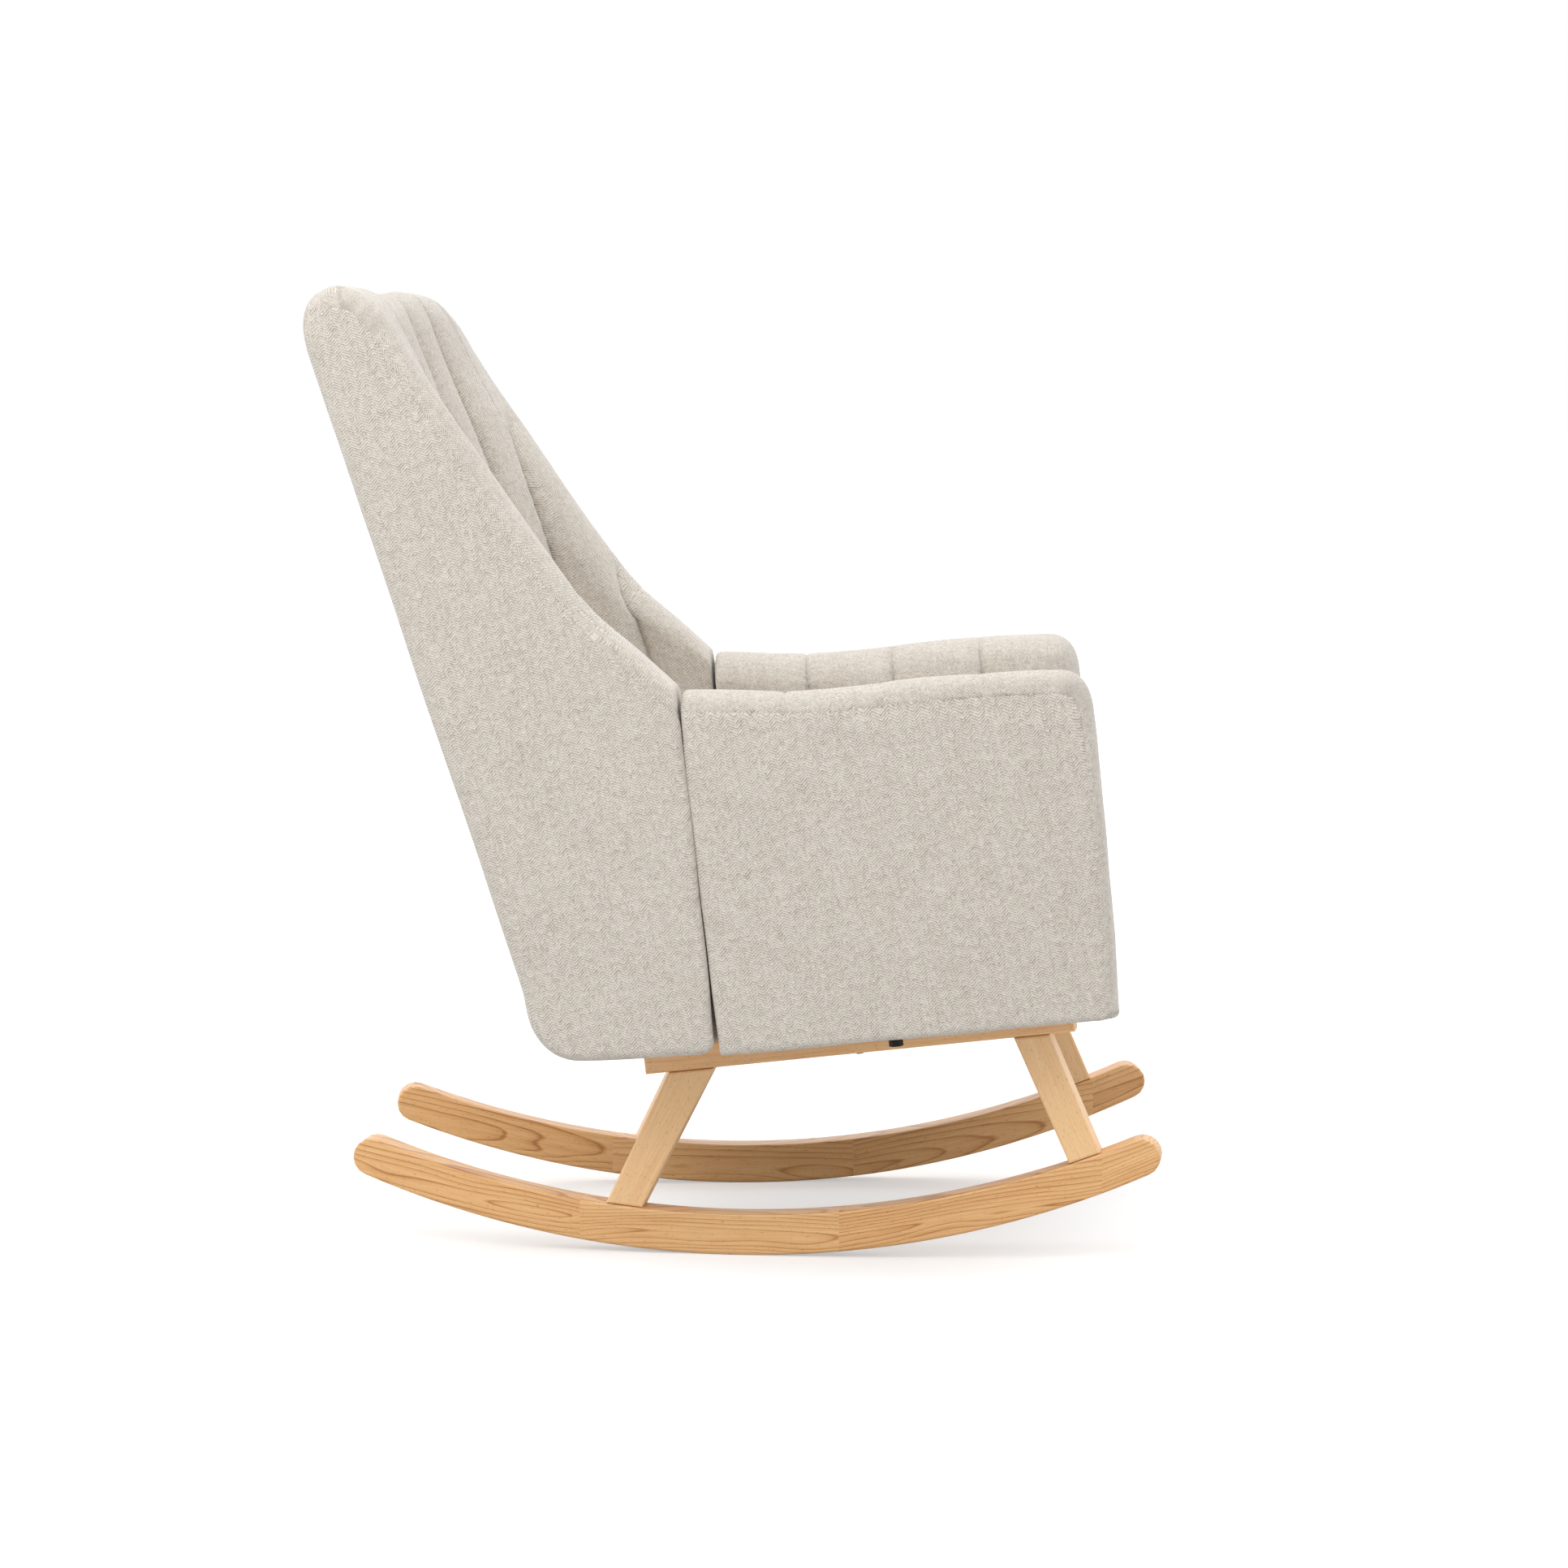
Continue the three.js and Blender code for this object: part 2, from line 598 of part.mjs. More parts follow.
function backRail(name, low, high) {
  const near = REAR_PANEL_THICK + 1;
  const far = near + BACK_RAIL_THICK;
  const shape = (grow) => outline([
    backPoint(far + grow, low - grow),
    backPoint(near - grow, low - grow),
    backPoint(near - grow, high + grow),
    backPoint(far + grow, high + grow),
  ]);
  const half = FRAME_FACE - WING_BOARD_THICK - 1;
  const mesh = named(name, prism(shape(0), -half, half), PLYWOOD);
  return { mesh, pocket: prism(shape(GAP), -half - GAP, half + GAP) };
}

function back() {
  const group = new THREE.Group();
  const rails = [
    backRail("back_bottom_rail", CENTRE_BOTTOM_Z - 2, 300),
    backRail("back_mid_rail", 560, 620),
    backRail("back_top_rail", CROWN_Z - 84, CROWN_Z - 2),
  ];
  rails.forEach(({ mesh }) => group.add(mesh));

  const centre = WING_INNER - 0.6;
  const rearPanel = outline([
    backPoint(REAR_PANEL_THICK, CENTRE_BOTTOM_Z),
    backPoint(0, CENTRE_BOTTOM_Z, 8),
    backPoint(0, CROWN_Z - 1),
    backPoint(REAR_PANEL_THICK, CROWN_Z - 1),
  ]);
  group.add(named("back_rear_panel", prism(rearPanel, -centre, centre), FABRIC));
  const behindPad = BACK_THICK - BACK_PAD_THICK;
  const pad = outline([
    backPoint(BACK_THICK, CENTRE_BOTTOM_Z),
    backPoint(behindPad, CENTRE_BOTTOM_Z),
    backPoint(behindPad, CROWN_Z),
    backPoint(0, CROWN_Z),
    backPoint(0, BACK_TOP_Z, 38),
    backPoint(BACK_THICK, BACK_TOP_Z, 26),
  ]);
  group.add(named("back_pad", prism(pad, -centre, centre), FABRIC));

  const boardInner = FRAME_FACE - WING_BOARD_THICK;
  const boardShape = wingShape(WING_BOARD_INSET, BACK_BOTTOM_Z + 2);
  const slot = wingShape(WING_BOARD_INSET - 0.5, BACK_BOTTOM_Z - 40);
  const skin = wingShape(1, BACK_BOTTOM_Z);
  for (const [side, sign] of [["right", -1], ["left", 1]]) {
    const board = prism(boardShape, sign * boardInner, sign * FRAME_FACE);
    const pocket = prism(slot, sign * (boardInner - WING_HOLLOW), sign * ARM_OUTER);
    const solid = prism(wingShape(0, BACK_BOTTOM_Z), sign * WING_INNER, sign * (FRAME_FACE + GAP));
    const wing = cut(solid, [pocket, ...rails.map((rail) => rail.pocket)]);
    const panel = prism(skin, sign * (FRAME_FACE + 1), sign * ARM_OUTER, PANEL_ROUND);
    group.add(named(`wing_board_${side}`, board, PLYWOOD));
    group.add(named(`wing_pad_${side}`, wing, FABRIC));
    group.add(named(`wing_outer_panel_${side}`, panel, FABRIC));
  }
  return group;
}

// ---------------------------------------------------------------- the chair
const chair = new THREE.Group();
chair.position.y = -CENTRE_Y;
chair.add(sideFrame("right"), sideFrame("left"), seatUnit(), arm("right"), arm("left"), back());

export default chair;
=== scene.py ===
import math

import bpy
import numpy as np
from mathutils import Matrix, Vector


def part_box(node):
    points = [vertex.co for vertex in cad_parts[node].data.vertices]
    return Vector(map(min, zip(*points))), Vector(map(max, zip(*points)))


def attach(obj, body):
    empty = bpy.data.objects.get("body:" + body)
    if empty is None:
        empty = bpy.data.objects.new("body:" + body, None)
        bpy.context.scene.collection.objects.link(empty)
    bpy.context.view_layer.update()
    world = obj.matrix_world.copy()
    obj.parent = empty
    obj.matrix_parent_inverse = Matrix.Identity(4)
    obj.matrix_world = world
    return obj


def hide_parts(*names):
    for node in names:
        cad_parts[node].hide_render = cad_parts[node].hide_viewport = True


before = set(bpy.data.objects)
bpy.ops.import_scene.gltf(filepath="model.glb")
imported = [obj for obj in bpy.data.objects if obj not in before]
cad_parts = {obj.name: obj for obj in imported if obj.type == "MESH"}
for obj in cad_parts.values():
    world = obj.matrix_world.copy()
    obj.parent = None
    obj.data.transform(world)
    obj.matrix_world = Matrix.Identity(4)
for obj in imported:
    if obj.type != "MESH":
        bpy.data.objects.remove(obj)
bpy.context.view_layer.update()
SCENE = bpy.context.scene

# Shapes are worked out in millimetres and become metres when their mesh is made.
MM = 0.001
CENTRE_Y = 13.1  # the outlines' Y less the row frame's Y

# ---------------------------------------------------------------- driving dimensions
RECLINE = 0.331
BACK_BOTTOM_Y = 203.6
BACK_BOTTOM_Z = 219.0
BACK_TOP_Z = 995.0
BACK_SIDE = 352.0
CROWN_Z = 922.0
JOINT_SLOPE = 0.118
JOINT_Z = 242.0
JOINT_Y = 28.0
ARM_OUTER = 352.0
ARM_INNER = 254.0
PANEL_THICK = 11.0
FRAME_HALF_WIDTH = 239.0
FRAME_THICK = 36.0
TOE = math.radians(5.7)
RAIL_REAR_Y, RAIL_REAR_Z, RAIL_SLOPE, RAIL_HEIGHT = 109.5, 185.6, 0.1199, 27.0
ROCKER_RADIUS, ROCKER_CONTACT_Y = 1035.0, 20.0
SEAT_Z = 226.5
SEAT_PITCH = math.atan(0.1205)
SEAT_FRONT, SEAT_REAR = -340.0, 112.0
BOX_HEIGHT = 82.0
DECK_TOP = 100.0
CUSHION_TOP = 198.0
CUSHION_HALF_WIDTH = 250.0


# ---------------------------------------------------------------- camera
def camera():
    data = bpy.data.cameras.new("camera")
    data.sensor_width = 36.0
    data.lens = 109.94
    data.clip_end = 200.0
    cam = bpy.data.objects.new("camera", data)
    cam.location = (-5.1028, -0.2375, 0.9142)
    cam.rotation_euler = (math.radians(84.989), 0.0, math.radians(-87.761))
    SCENE.collection.objects.link(cam)
    SCENE.camera = cam


camera()


# ---------------------------------------------------------------- outlines and fields
def smooth(low, high, value):
    t = np.clip((value - low) / (high - low), 0.0, 1.0)
    return t * t * (3.0 - 2.0 * t)


def bezier(start, control, end, steps=10):
    t = np.linspace(0.0, 1.0, steps + 1)[:, None]
    start, control, end = (np.asarray(p, float) for p in (start, control, end))
    return (1 - t) ** 2 * start + 2 * t * (1 - t) * control + t * t * end


def spline(points, step=9.0):
    """Points close together on a smooth curve through the given points."""
    p = np.asarray(points, float)
    p = np.vstack([2 * p[0] - p[1], p, 2 * p[-1] - p[-2]])
    out = []
    for a, b, c, d in zip(p, p[1:], p[2:], p[3:]):
        n = max(2, int(np.hypot(*(c - b)) / step))
        for t in np.arange(n) / n:
            out.append(
                0.5 * (2 * b + (c - a) * t + (2 * a - 5 * b + 4 * c - d) * t ** 2
                       + (3 * b - a - 3 * c + d) * t ** 3)
            )
    return np.array(out + [p[-2]])


def polygon_distance(px, py, points):
    px, py = np.broadcast_arrays(px, py)
    nearest = np.full(px.shape, 1e12)
    inside = np.zeros(px.shape, bool)
    for (ax, ay), (bx, by) in zip(points, np.roll(points, -1, 0)):
        ex, ey = bx - ax, by - ay
        length = ex * ex + ey * ey
        if length < 1e-9:
            continue
        wx, wy = px - ax, py - ay
        t = np.clip((wx * ex + wy * ey) / length, 0.0, 1.0)
        nearest = np.minimum(nearest, (wx - t * ex) ** 2 + (wy - t * ey) ** 2)
        if ey:
            inside ^= ((ay > py) != (by > py)) & (px < ax + (py - ay) * ex / ey)
    return np.where(inside, -1.0, 1.0) * np.sqrt(nearest)


class Outline:
    """Signed distance to a closed outline, negative inside, from a fine table."""

    def __init__(self, points, reach=70.0, step=1.5):
        points = np.asarray(points, float)
        self.low = points.min(0) - reach
        count = np.ceil((points.max(0) + reach - self.low) / step).astype(int) + 1
        self.step = step
        u = self.low[0] + step * np.arange(count[0])
        v = self.low[1] + step * np.arange(count[1])
        self.table = polygon_distance(u[:, None], v[None, :], points)

    def __call__(self, px, py):
        u = (px - self.low[0]) / self.step
        v = (py - self.low[1]) / self.step
        i = np.clip(np.floor(u).astype(int), 0, self.table.shape[0] - 2)
        j = np.clip(np.floor(v).astype(int), 0, self.table.shape[1] - 2)
        a = np.clip(u - i, 0.0, 1.0)
        b = np.clip(v - j, 0.0, 1.0)
        t = self.table
        low = t[i, j] * (1 - a) + t[i + 1, j] * a
        high = t[i, j + 1] * (1 - a) + t[i + 1, j + 1] * a
        return low * (1 - b) + high * b


def both(a, b, ra, rb=None):
    """Inside both fields, with an elliptical edge of radii ra and rb."""
    rb = ra if rb is None else rb
    u = np.maximum(a / ra + 1.0, 0.0)
    v = np.maximum(b / rb + 1.0, 0.0)
    size = np.minimum(ra, rb)
    edge = (np.sqrt(u * u + v * v) - 1.0) * size
    return np.where((u > 0) | (v > 0), edge, np.maximum(a, b))


def even(low, high, step):
    return np.linspace(low, high, max(2, round((high - low) / step)) + 1)


def graded(low, high, centres, step=4.4):
    """Cell borders from low to high, close together round each centre, which is mid-cell."""
    fine = np.array([0.7, 1.9, 3.6, 6.0, 9.0])
    borders, start = [], low
    for centre in centres:
        borders.append(even(start, centre - fine[-1], step)[:-1])
        borders.append(centre + np.concatenate([-fine[::-1], fine[:-1]]))
        start = centre + fine[-1]
    borders.append(even(start, high, step))
    return np.concatenate(borders)


def surface_net(field, axes):
    """Quads on the surface where the field is zero, one vertex in each crossed cell."""
    count = np.array([len(axis) for axis in axes])
    value = field(axes[0][:, None, None], axes[1][None, :, None], axes[2][None, None, :])
    value = np.broadcast_to(value, count)
    cell_ids, points, quads = [], [], []
    for axis in range(3):
        before = [slice(None)] * 3
        after = [slice(None)] * 3
        before[axis], after[axis] = slice(0, -1), slice(1, None)
        start, end = value[tuple(before)], value[tuple(after)]
        hit = (start < 0) != (end < 0)
        index = np.argwhere(hit)
        a, b = start[hit], end[hit]
        point = np.stack([axes[i][index[:, i]] for i in range(3)], 1)
        width = axes[axis][index[:, axis] + 1] - axes[axis][index[:, axis]]
        point[:, axis] += width * a / (a - b)
        ring = []
        for d1, d2 in ((0, 0), (1, 0), (1, 1), (0, 1)):
            cell = index.copy()
            cell[:, (axis + 1) % 3] -= d1
            cell[:, (axis + 2) % 3] -= d2
            ring.append(np.ravel_multi_index(cell.T, count))
            cell_ids.append(ring[-1])
            points.append(point)
        quad = np.stack(ring, 1)
        outward = a < 0
        quads.append(np.where(outward[:, None], quad, quad[:, ::-1]))
    cell_ids, points = np.concatenate(cell_ids), np.concatenate(points)
    unique, which = np.unique(cell_ids, return_inverse=True)
    total = np.bincount(which)
    middle = np.stack([np.bincount(which, points[:, i]) / total for i in range(3)], 1)
    return middle, np.searchsorted(unique, np.concatenate(quads))


def slope(outline, a, b, step=2.0):
    """How fast an outline's distance grows along each of its two axes."""
    du = (outline(a + step, b) - outline(a - step, b)) / (2 * step)
    dv = (outline(a, b + step) - outline(a, b - step)) / (2 * step)
    return du, dv


def gradient(field, p, reach=0.4):
    g = np.empty_like(p)
    for i in range(3):
        d = np.zeros(3)
        d[i] = reach
        g[:, i] = (field(*(p + d).T) - field(*(p - d).T)) / (2 * reach)
    return g


def settle(field, p, rounds=3):
    """Moves points onto the surface where the field is zero."""
    for _ in range(rounds):
        g = gradient(field, p)
        f = field(*p.T)
        p = p - np.clip(f / np.maximum((g * g).sum(1), 0.05), -3, 3)[:, None] * g
    return p


class Space:
    """An affine frame: real point = matrix @ point + shift, in millimetres."""

    def __init__(self, matrix, shift):
        self.matrix = np.asarray(matrix, float)
        self.shift = np.asarray(shift, float)
        self.normal = np.linalg.inv(self.matrix).T

    def real(self, p):
        return p @ self.matrix.T + self.shift

    def normals(self, g):
        n = g @ self.normal.T
        return n / np.maximum(np.linalg.norm(n, axis=1), 1e-9)[:, None]


# (x, forward offset from the rear face, z): the recline stands upright here
BACK_SPACE = Space(
    [[1, 0, 0], [0, -1, RECLINE], [0, 0, 1]],
    [0, BACK_BOTTOM_Y - RECLINE * BACK_BOTTOM_Z - CENTRE_Y, 0],
)
# (x, y measured along the lean of the arm's rear edge, z)
ARM_SPACE = Space(
    [[1, 0, 0], [0, 1, JOINT_SLOPE], [0, 0, 1]],
    [0, -JOINT_SLOPE * JOINT_Z - CENTRE_Y, 0],
)
SEAT_SPACE = Space(
    [
        [1, 0, 0],
        [0, math.cos(SEAT_PITCH), math.sin(SEAT_PITCH)],
        [0, -math.sin(SEAT_PITCH), math.cos(SEAT_PITCH)],
    ],
    [0, -CENTRE_Y, SEAT_Z],
)


def waves(t, seed, count=6, low=0.25, high=1.0):
    """A repeatable wavy line, about -1 to 1: t is in wavelengths of its finest wave."""
    draw = np.random.default_rng(seed)
    total = np.zeros(np.shape(t))
    for rate, phase in zip(draw.uniform(low, high, count), draw.uniform(0, 2 * np.pi, count)):
        total = total + np.sin(2 * np.pi * rate * t + phase)
    return total / math.sqrt(count)


def billow(p, size, seed):
    """A soft random relief over space, about -1 to 1, with features of the given size."""
    draw = np.random.default_rng(seed)
    total = np.zeros(len(p))
    for _ in range(9):
        direction = draw.normal(size=3)
        direction /= np.linalg.norm(direction)
        rate = draw.uniform(0.6, 1.4) / size
        total += np.sin(2 * np.pi * rate * (p @ direction) + draw.uniform(0, 2 * np.pi))
    return total / 3.0


# ---------------------------------------------------------------- meshes
def make_mesh(name, points, faces, weave=None):
    points = np.asarray(points, float) * MM
    mesh = bpy.data.meshes.new(name)
    corners = faces.shape[1]
    tri = points[faces[:, :3]]
    a, b, c = (tri - points.mean(0)).transpose(1, 0, 2)
    if np.einsum("ij,ij->i", np.cross(a, b), c).sum() < 0:
        faces = faces[:, ::-1]
    mesh.vertices.add(len(points))
    mesh.vertices.foreach_set("co", points.ravel().astype(np.float32))
    mesh.loops.add(faces.size)
    mesh.loops.foreach_set("vertex_index", faces.ravel().astype(np.int32))
    mesh.polygons.add(len(faces))
    mesh.polygons.foreach_set("loop_start", np.arange(0, faces.size, corners, dtype=np.int32))
    mesh.update(calc_edges=True)
    mesh.validate()
    mesh.polygons.foreach_set("use_smooth", np.ones(len(mesh.polygons), bool))
    if weave is not None:
        set_weave(mesh, weave)
    obj = bpy.data.objects.new(name, mesh)
    SCENE.collection.objects.link(obj)
    return obj


def set_weave(mesh, weave):
    """Stores the fabric's own coordinates, in metres, at each vertex."""
    layer = mesh.attributes.get("weave") or mesh.attributes.new("weave", "FLOAT_VECTOR", "POINT")
    flat = np.zeros((len(mesh.vertices), 3), np.float32)
    flat[:, : weave.shape[1]] = weave * MM
    layer.data.foreach_set("vector", flat.ravel())


def move_points(mesh, points):
    mesh.vertices.foreach_set("co", (points * MM).ravel().astype(np.float32))
    mesh.update()


def evaluated(obj):
    return obj.evaluated_get(bpy.context.evaluated_depsgraph_get())


def read_vectors(items, key):
    values = np.empty(len(items) * 3, np.float32)
    items.foreach_get(key, values)
    return values.reshape(-1, 3).astype(float)


def mesh_points(mesh):
    return read_vectors(mesh.vertices, "co") / MM


def finish_piece(obj, look, slot, *nodes):
    obj.data.materials.clear()
    obj.data.materials.append(look)
    if nodes:
        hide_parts(*nodes)
    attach(obj, "root")
    return obj


# ---------------------------------------------------------------- material nodes
class Nodes:
    """A new material or world, and short ways to add nodes to it."""

    def __init__(self, name, group="materials", shader="Principled BSDF"):
        self.owner = getattr(bpy.data, group).new(name)
        self.owner.use_nodes = True
        self.tree = self.owner.node_tree
        self.shader = self.tree.nodes[shader]

    def new(self, kind, inputs=(), **settings):
        """A node with its settings, and its inputs by name or place."""
        node = self.tree.nodes.new("ShaderNode" + kind)
        for key, value in settings.items():
            setattr(node, key, value)
        for key, value in dict(inputs).items():
            self.feed(node.inputs[key], value)
        return node

    def feed(self, socket, value):
        if isinstance(value, bpy.types.NodeSocket):
            self.tree.links.new(value, socket)
        else:
            socket.default_value = value

    def math(self, operation, *values):
        return self.new("Math", enumerate(values), operation=operation).outputs[0]

    def mix(self, factor, a, b):
        """Two colours mixed; a mix node's colour sockets are 6 and 7, and its colour out is 2."""
        return self.new("Mix", {0: factor, 6: a, 7: b}, data_type="RGBA").outputs[2]

    def noise(self, vector, scale, detail=2.0, rough=0.5, distortion=0.0):
        inputs = {
            "Vector": vector, "Scale": scale, "Detail": detail, "Roughness": rough,
            "Distortion": distortion,
        }
        return self.new("TexNoise", inputs).outputs[0]

    def ramp(self, value, *stops):
        node = self.new("ValToRGB", {0: value})
        points = node.color_ramp.elements
        while len(points) < len(stops):
            points.new(0.5)
        for point, (place, color) in zip(points, stops):
            point.position = place
            point.color = (*color, 1.0) if isinstance(color, tuple) else (color,) * 3 + (1.0,)
        return node.outputs[0]

    def stretched(self, parts, rates):
        """Coordinates at their own rates, for noise drawn out along one of them."""
        scaled = [self.math("MULTIPLY", part, rate) for part, rate in zip(parts, rates)]
        return self.new("CombineXYZ", enumerate(scaled)).outputs[0]

    def vary(self, tone, part, share):
        """A tone moved up or down by a part that runs from 0 to 1."""
        return self.math("MULTIPLY_ADD", self.math("SUBTRACT", part, 0.5), share, tone)

    def split(self, vector):
        return self.new("SeparateXYZ", {0: vector}).outputs

    def bump(self, height, distance, strength):
        inputs = {"Height": height, "Distance": distance, "Strength": strength}
        self.set(Normal=self.new("Bump", inputs).outputs[0])

    def place(self):
        return self.new("TexCoord").outputs["Object"]

    def set(self, **values):
        for key, value in values.items():
            self.feed(self.shader.inputs[key.replace("_", " ")], value)
        return self.owner


def linear(*rgb):
    """A colour given as 0 to 255 sRGB, as the linear values a shader takes."""
    out = []
    for value in rgb:
        v = value / 255.0
        out.append(v / 12.92 if v <= 0.04045 else ((v + 0.055) / 1.055) ** 2.4)
    return tuple(out)


def herringbone():
    """Woven oatmeal herringbone: heathered yarns in columns of twill that change slant."""
    n = Nodes("herringbone")
    column, pitch = 0.0078, 0.0024
    steep = math.radians(35.0)  # of the twill lines to the run of the columns' width
    weave = n.new("Attribute", attribute_name="weave").outputs["Vector"]
    u, v, _ = n.split(weave)
    zig = n.math("PINGPONG", u, column)
    rise = n.math("MULTIPLY", v, math.cos(steep) / pitch)
    phase = n.math("MULTIPLY_ADD", zig, math.sin(steep) / pitch, rise)
    line = n.math("SINE", n.math("MULTIPLY", phase, 2 * math.pi))
    line = n.math("MULTIPLY_ADD", line, 0.5, 0.5)
    yarn = n.math("FLOOR", phase)
    slub = n.noise(n.stretched((zig, yarn, u), (420.0, 7.3, 60.0)), 1.0, 2.0, 0.6)
    speck = n.noise(weave, 850.0, 2.0, 0.7)
    heather = n.noise(weave, 400.0, 3.0, 0.7)
    cloud = n.noise(weave, 22.0, 3.0, 0.55)
    slant = n.math("FLOORED_MODULO", n.math("FLOOR", n.math("DIVIDE", u, column)), 2.0)
    tone = n.vary(0.5, line, 0.32)
    for part, share in (
        (slub, 0.8), (speck, 0.9), (heather, 0.22), (cloud, 0.08), (slant, 0.02)
    ):
        tone = n.vary(tone, part, share)
    color = n.ramp(
        tone,
        (0.05, linear(140, 128, 117)),
        (0.36, linear(186, 177, 166)),
        (0.56, linear(208, 201, 191)),
        (0.82, linear(226, 220, 210)),
    )
    height = n.math("ADD", n.math("MULTIPLY", line, 0.6), n.math("MULTIPLY", speck, 0.7))
    n.bump(height, 0.00045, 0.6)
    return n.set(
        Base_Color=color, Roughness=0.92, Sheen_Weight=0.35, Sheen_Roughness=0.45,
        Specular_IOR_Level=0.2,
    )


STAVE = 0.27  # length of the staves a rocker is glued up from, in metres
STAVE_SLOPE = 0.8  # of a stave's grain, against the arc's own slope at its middle
ROCKER_COLORS = ((182, 122, 68), (216, 160, 100), (232, 180, 120), (242, 197, 142))
LEG_COLORS = ((216, 162, 108), (240, 190, 134), (247, 202, 148), (250, 214, 166))


def wood(name, lean=0.0, toe=0.0, arc=False, seed=0.0, shade=0.0):
    """Clear-coated pale hardwood. The grain runs along the piece: straight along a direction
    in the side plane, or along each of the staves that follow a rocker's arc."""
    n = Nodes(name)
    turned = n.new("Mapping", {"Vector": n.place(), "Rotation": (0.0, 0.0, toe)})
    x, y, z = n.split(turned.outputs[0])
    if arc:
        radius = ROCKER_RADIUS * MM
        centre = (ROCKER_CONTACT_Y - CENTRE_Y) * MM
        along = n.math("SUBTRACT", y, centre)
        stave = n.math("ROUND", n.math("DIVIDE", along, STAVE))
        middle = n.math("MULTIPLY", stave, STAVE)
        grain = n.math("DIVIDE", middle, radius / STAVE_SLOPE)
        rise = n.math("MULTIPLY", n.math("SUBTRACT", along, middle), grain)
        drop = n.math("DIVIDE", n.math("MULTIPLY", middle, middle), 2.0 * radius)
        across = n.math("SUBTRACT", n.math("SUBTRACT", z, drop), rise)
        across = n.math("SUBTRACT", across, n.math("MULTIPLY_ADD", stave, 0.009, 0.018))
        reach = n.math("SUBTRACT", along, n.math("MULTIPLY", stave, STAVE * STAVE_SLOPE))
        share, tilt, palette = 0.56, 0.035, ROCKER_COLORS
    else:
        c, s = math.cos(lean), math.sin(lean)
        along = n.math("ADD", n.math("MULTIPLY", y, c), n.math("MULTIPLY", z, s))
        across = n.math("SUBTRACT", n.math("MULTIPLY", z, c), n.math("MULTIPLY", y, s))
        reach = along
        share, tilt, palette = 0.14, 0.02, LEG_COLORS
    place = (x, along, across)
    warp = n.noise(n.stretched(place, (9.0, 3.2, 14.0)), 1.0)
    warp.node.noise_dimensions = "4D"
    warp.node.inputs["W"].default_value = seed
    bend = n.math("MULTIPLY", n.math("SUBTRACT", warp, 0.5), 0.052)
    offset = n.math("ADD", across, bend)
    face = n.math("SUBTRACT", n.math("ABSOLUTE", x), FRAME_HALF_WIDTH * MM)
    depth = n.math("MULTIPLY_ADD", reach, tilt, n.math("MULTIPLY_ADD", face, 0.5, bend))
    square = n.math("MULTIPLY_ADD", offset, offset, n.math("MULTIPLY", depth, depth))
    ring_width = 0.0046
    ring = n.math("DIVIDE", n.math("SQRT", square), ring_width)
    growth = n.ramp(
        n.math("FRACT", ring),
        (0.0, 0.68), (0.5, 0.58), (0.76, 0.4), (0.88, 0.0), (0.94, 0.3), (1.0, 0.68),
    )
    fibre = n.noise(n.stretched(place, (620.0, 22.0, 620.0)), 1.0, 3.0, 0.65)
    streak = n.noise(n.stretched(place, (55.0, 3.4, 75.0)), 1.0, 2.0, 0.6)
    pore = n.noise(n.stretched(place, (1100.0, 170.0, 1100.0)), 1.0, 1.0, 0.4)
    pore = n.ramp(pore, (0.66, 0.0), (0.74, 1.0))
    tone = n.math("MULTIPLY", growth, share)
    tone = n.vary(tone, fibre, 0.42)
    tone = n.vary(tone, streak, 0.36)
    tone = n.math("ADD", tone, 0.62 + shade - 0.54 * share)
    if arc:  # each stave has its own shade
        own = n.math("SINE", n.math("MULTIPLY_ADD", stave, 2.3, seed))
        tone = n.math("MULTIPLY_ADD", own, 0.035, tone)
    stops = (0.28, 0.46, 0.62, 0.80)
    color = n.ramp(tone, *((at, linear(*rgb)) for at, rgb in zip(stops, palette)))
    color = n.mix(n.math("MULTIPLY", pore, 0.45), color, (*linear(140, 92, 54), 1.0))
    rough = n.math("MULTIPLY_ADD", fibre, 0.16, 0.34)
    height = n.math("SUBTRACT", n.math("MULTIPLY", fibre, 0.4), n.math("MULTIPLY", pore, 0.6))
    n.bump(height, 0.0002, 0.5)
    return n.set(Base_Color=color, Roughness=rough, Coat_Weight=0.15, Coat_Roughness=0.3)


def plywood():
    n = Nodes("plywood")
    grain = n.noise(n.stretched(n.split(n.place()), (14.0, 14.0, 90.0)), 1.0, 4.0, 0.6, 0.6)
    fine = n.noise(n.place(), 380.0, 3.0, 0.6)
    tone = n.math("ADD", n.math("MULTIPLY", grain, 0.75), n.math("MULTIPLY", fine, 0.25))
    color = n.ramp(
        tone,
        (0.25, linear(168, 132, 88)),
        (0.5, linear(204, 172, 124)),
        (0.78, linear(222, 196, 152)),
    )
    n.bump(fine, 0.0003, 0.4)
    return n.set(Base_Color=color, Roughness=n.math("MULTIPLY_ADD", fine, 0.2, 0.6))


def coarse_cloth(name, dark, light, pitch):
    """Plain woven cloth or webbing with yarns along X and Y."""
    n = Nodes(name)
    x, y, _ = n.split(n.place())
    warp = n.math("SINE", n.math("MULTIPLY", x, 2 * math.pi / pitch))
    weft = n.math("SINE", n.math("MULTIPLY", y, 2 * math.pi / pitch))
    weave = n.math("MULTIPLY_ADD", n.math("MULTIPLY", warp, weft), 0.5, 0.5)
    fuzz = n.noise(n.place(), 700.0, 2.0, 0.6)
    tone = n.math("ADD", n.math("MULTIPLY", weave, 0.55), n.math("MULTIPLY", fuzz, 0.45))
    color = n.ramp(tone, (0.2, dark), (0.8, light))
    n.bump(weave, 0.0004, 0.6)
    return n.set(Base_Color=color, Roughness=0.93, Specular_IOR_Level=0.2)


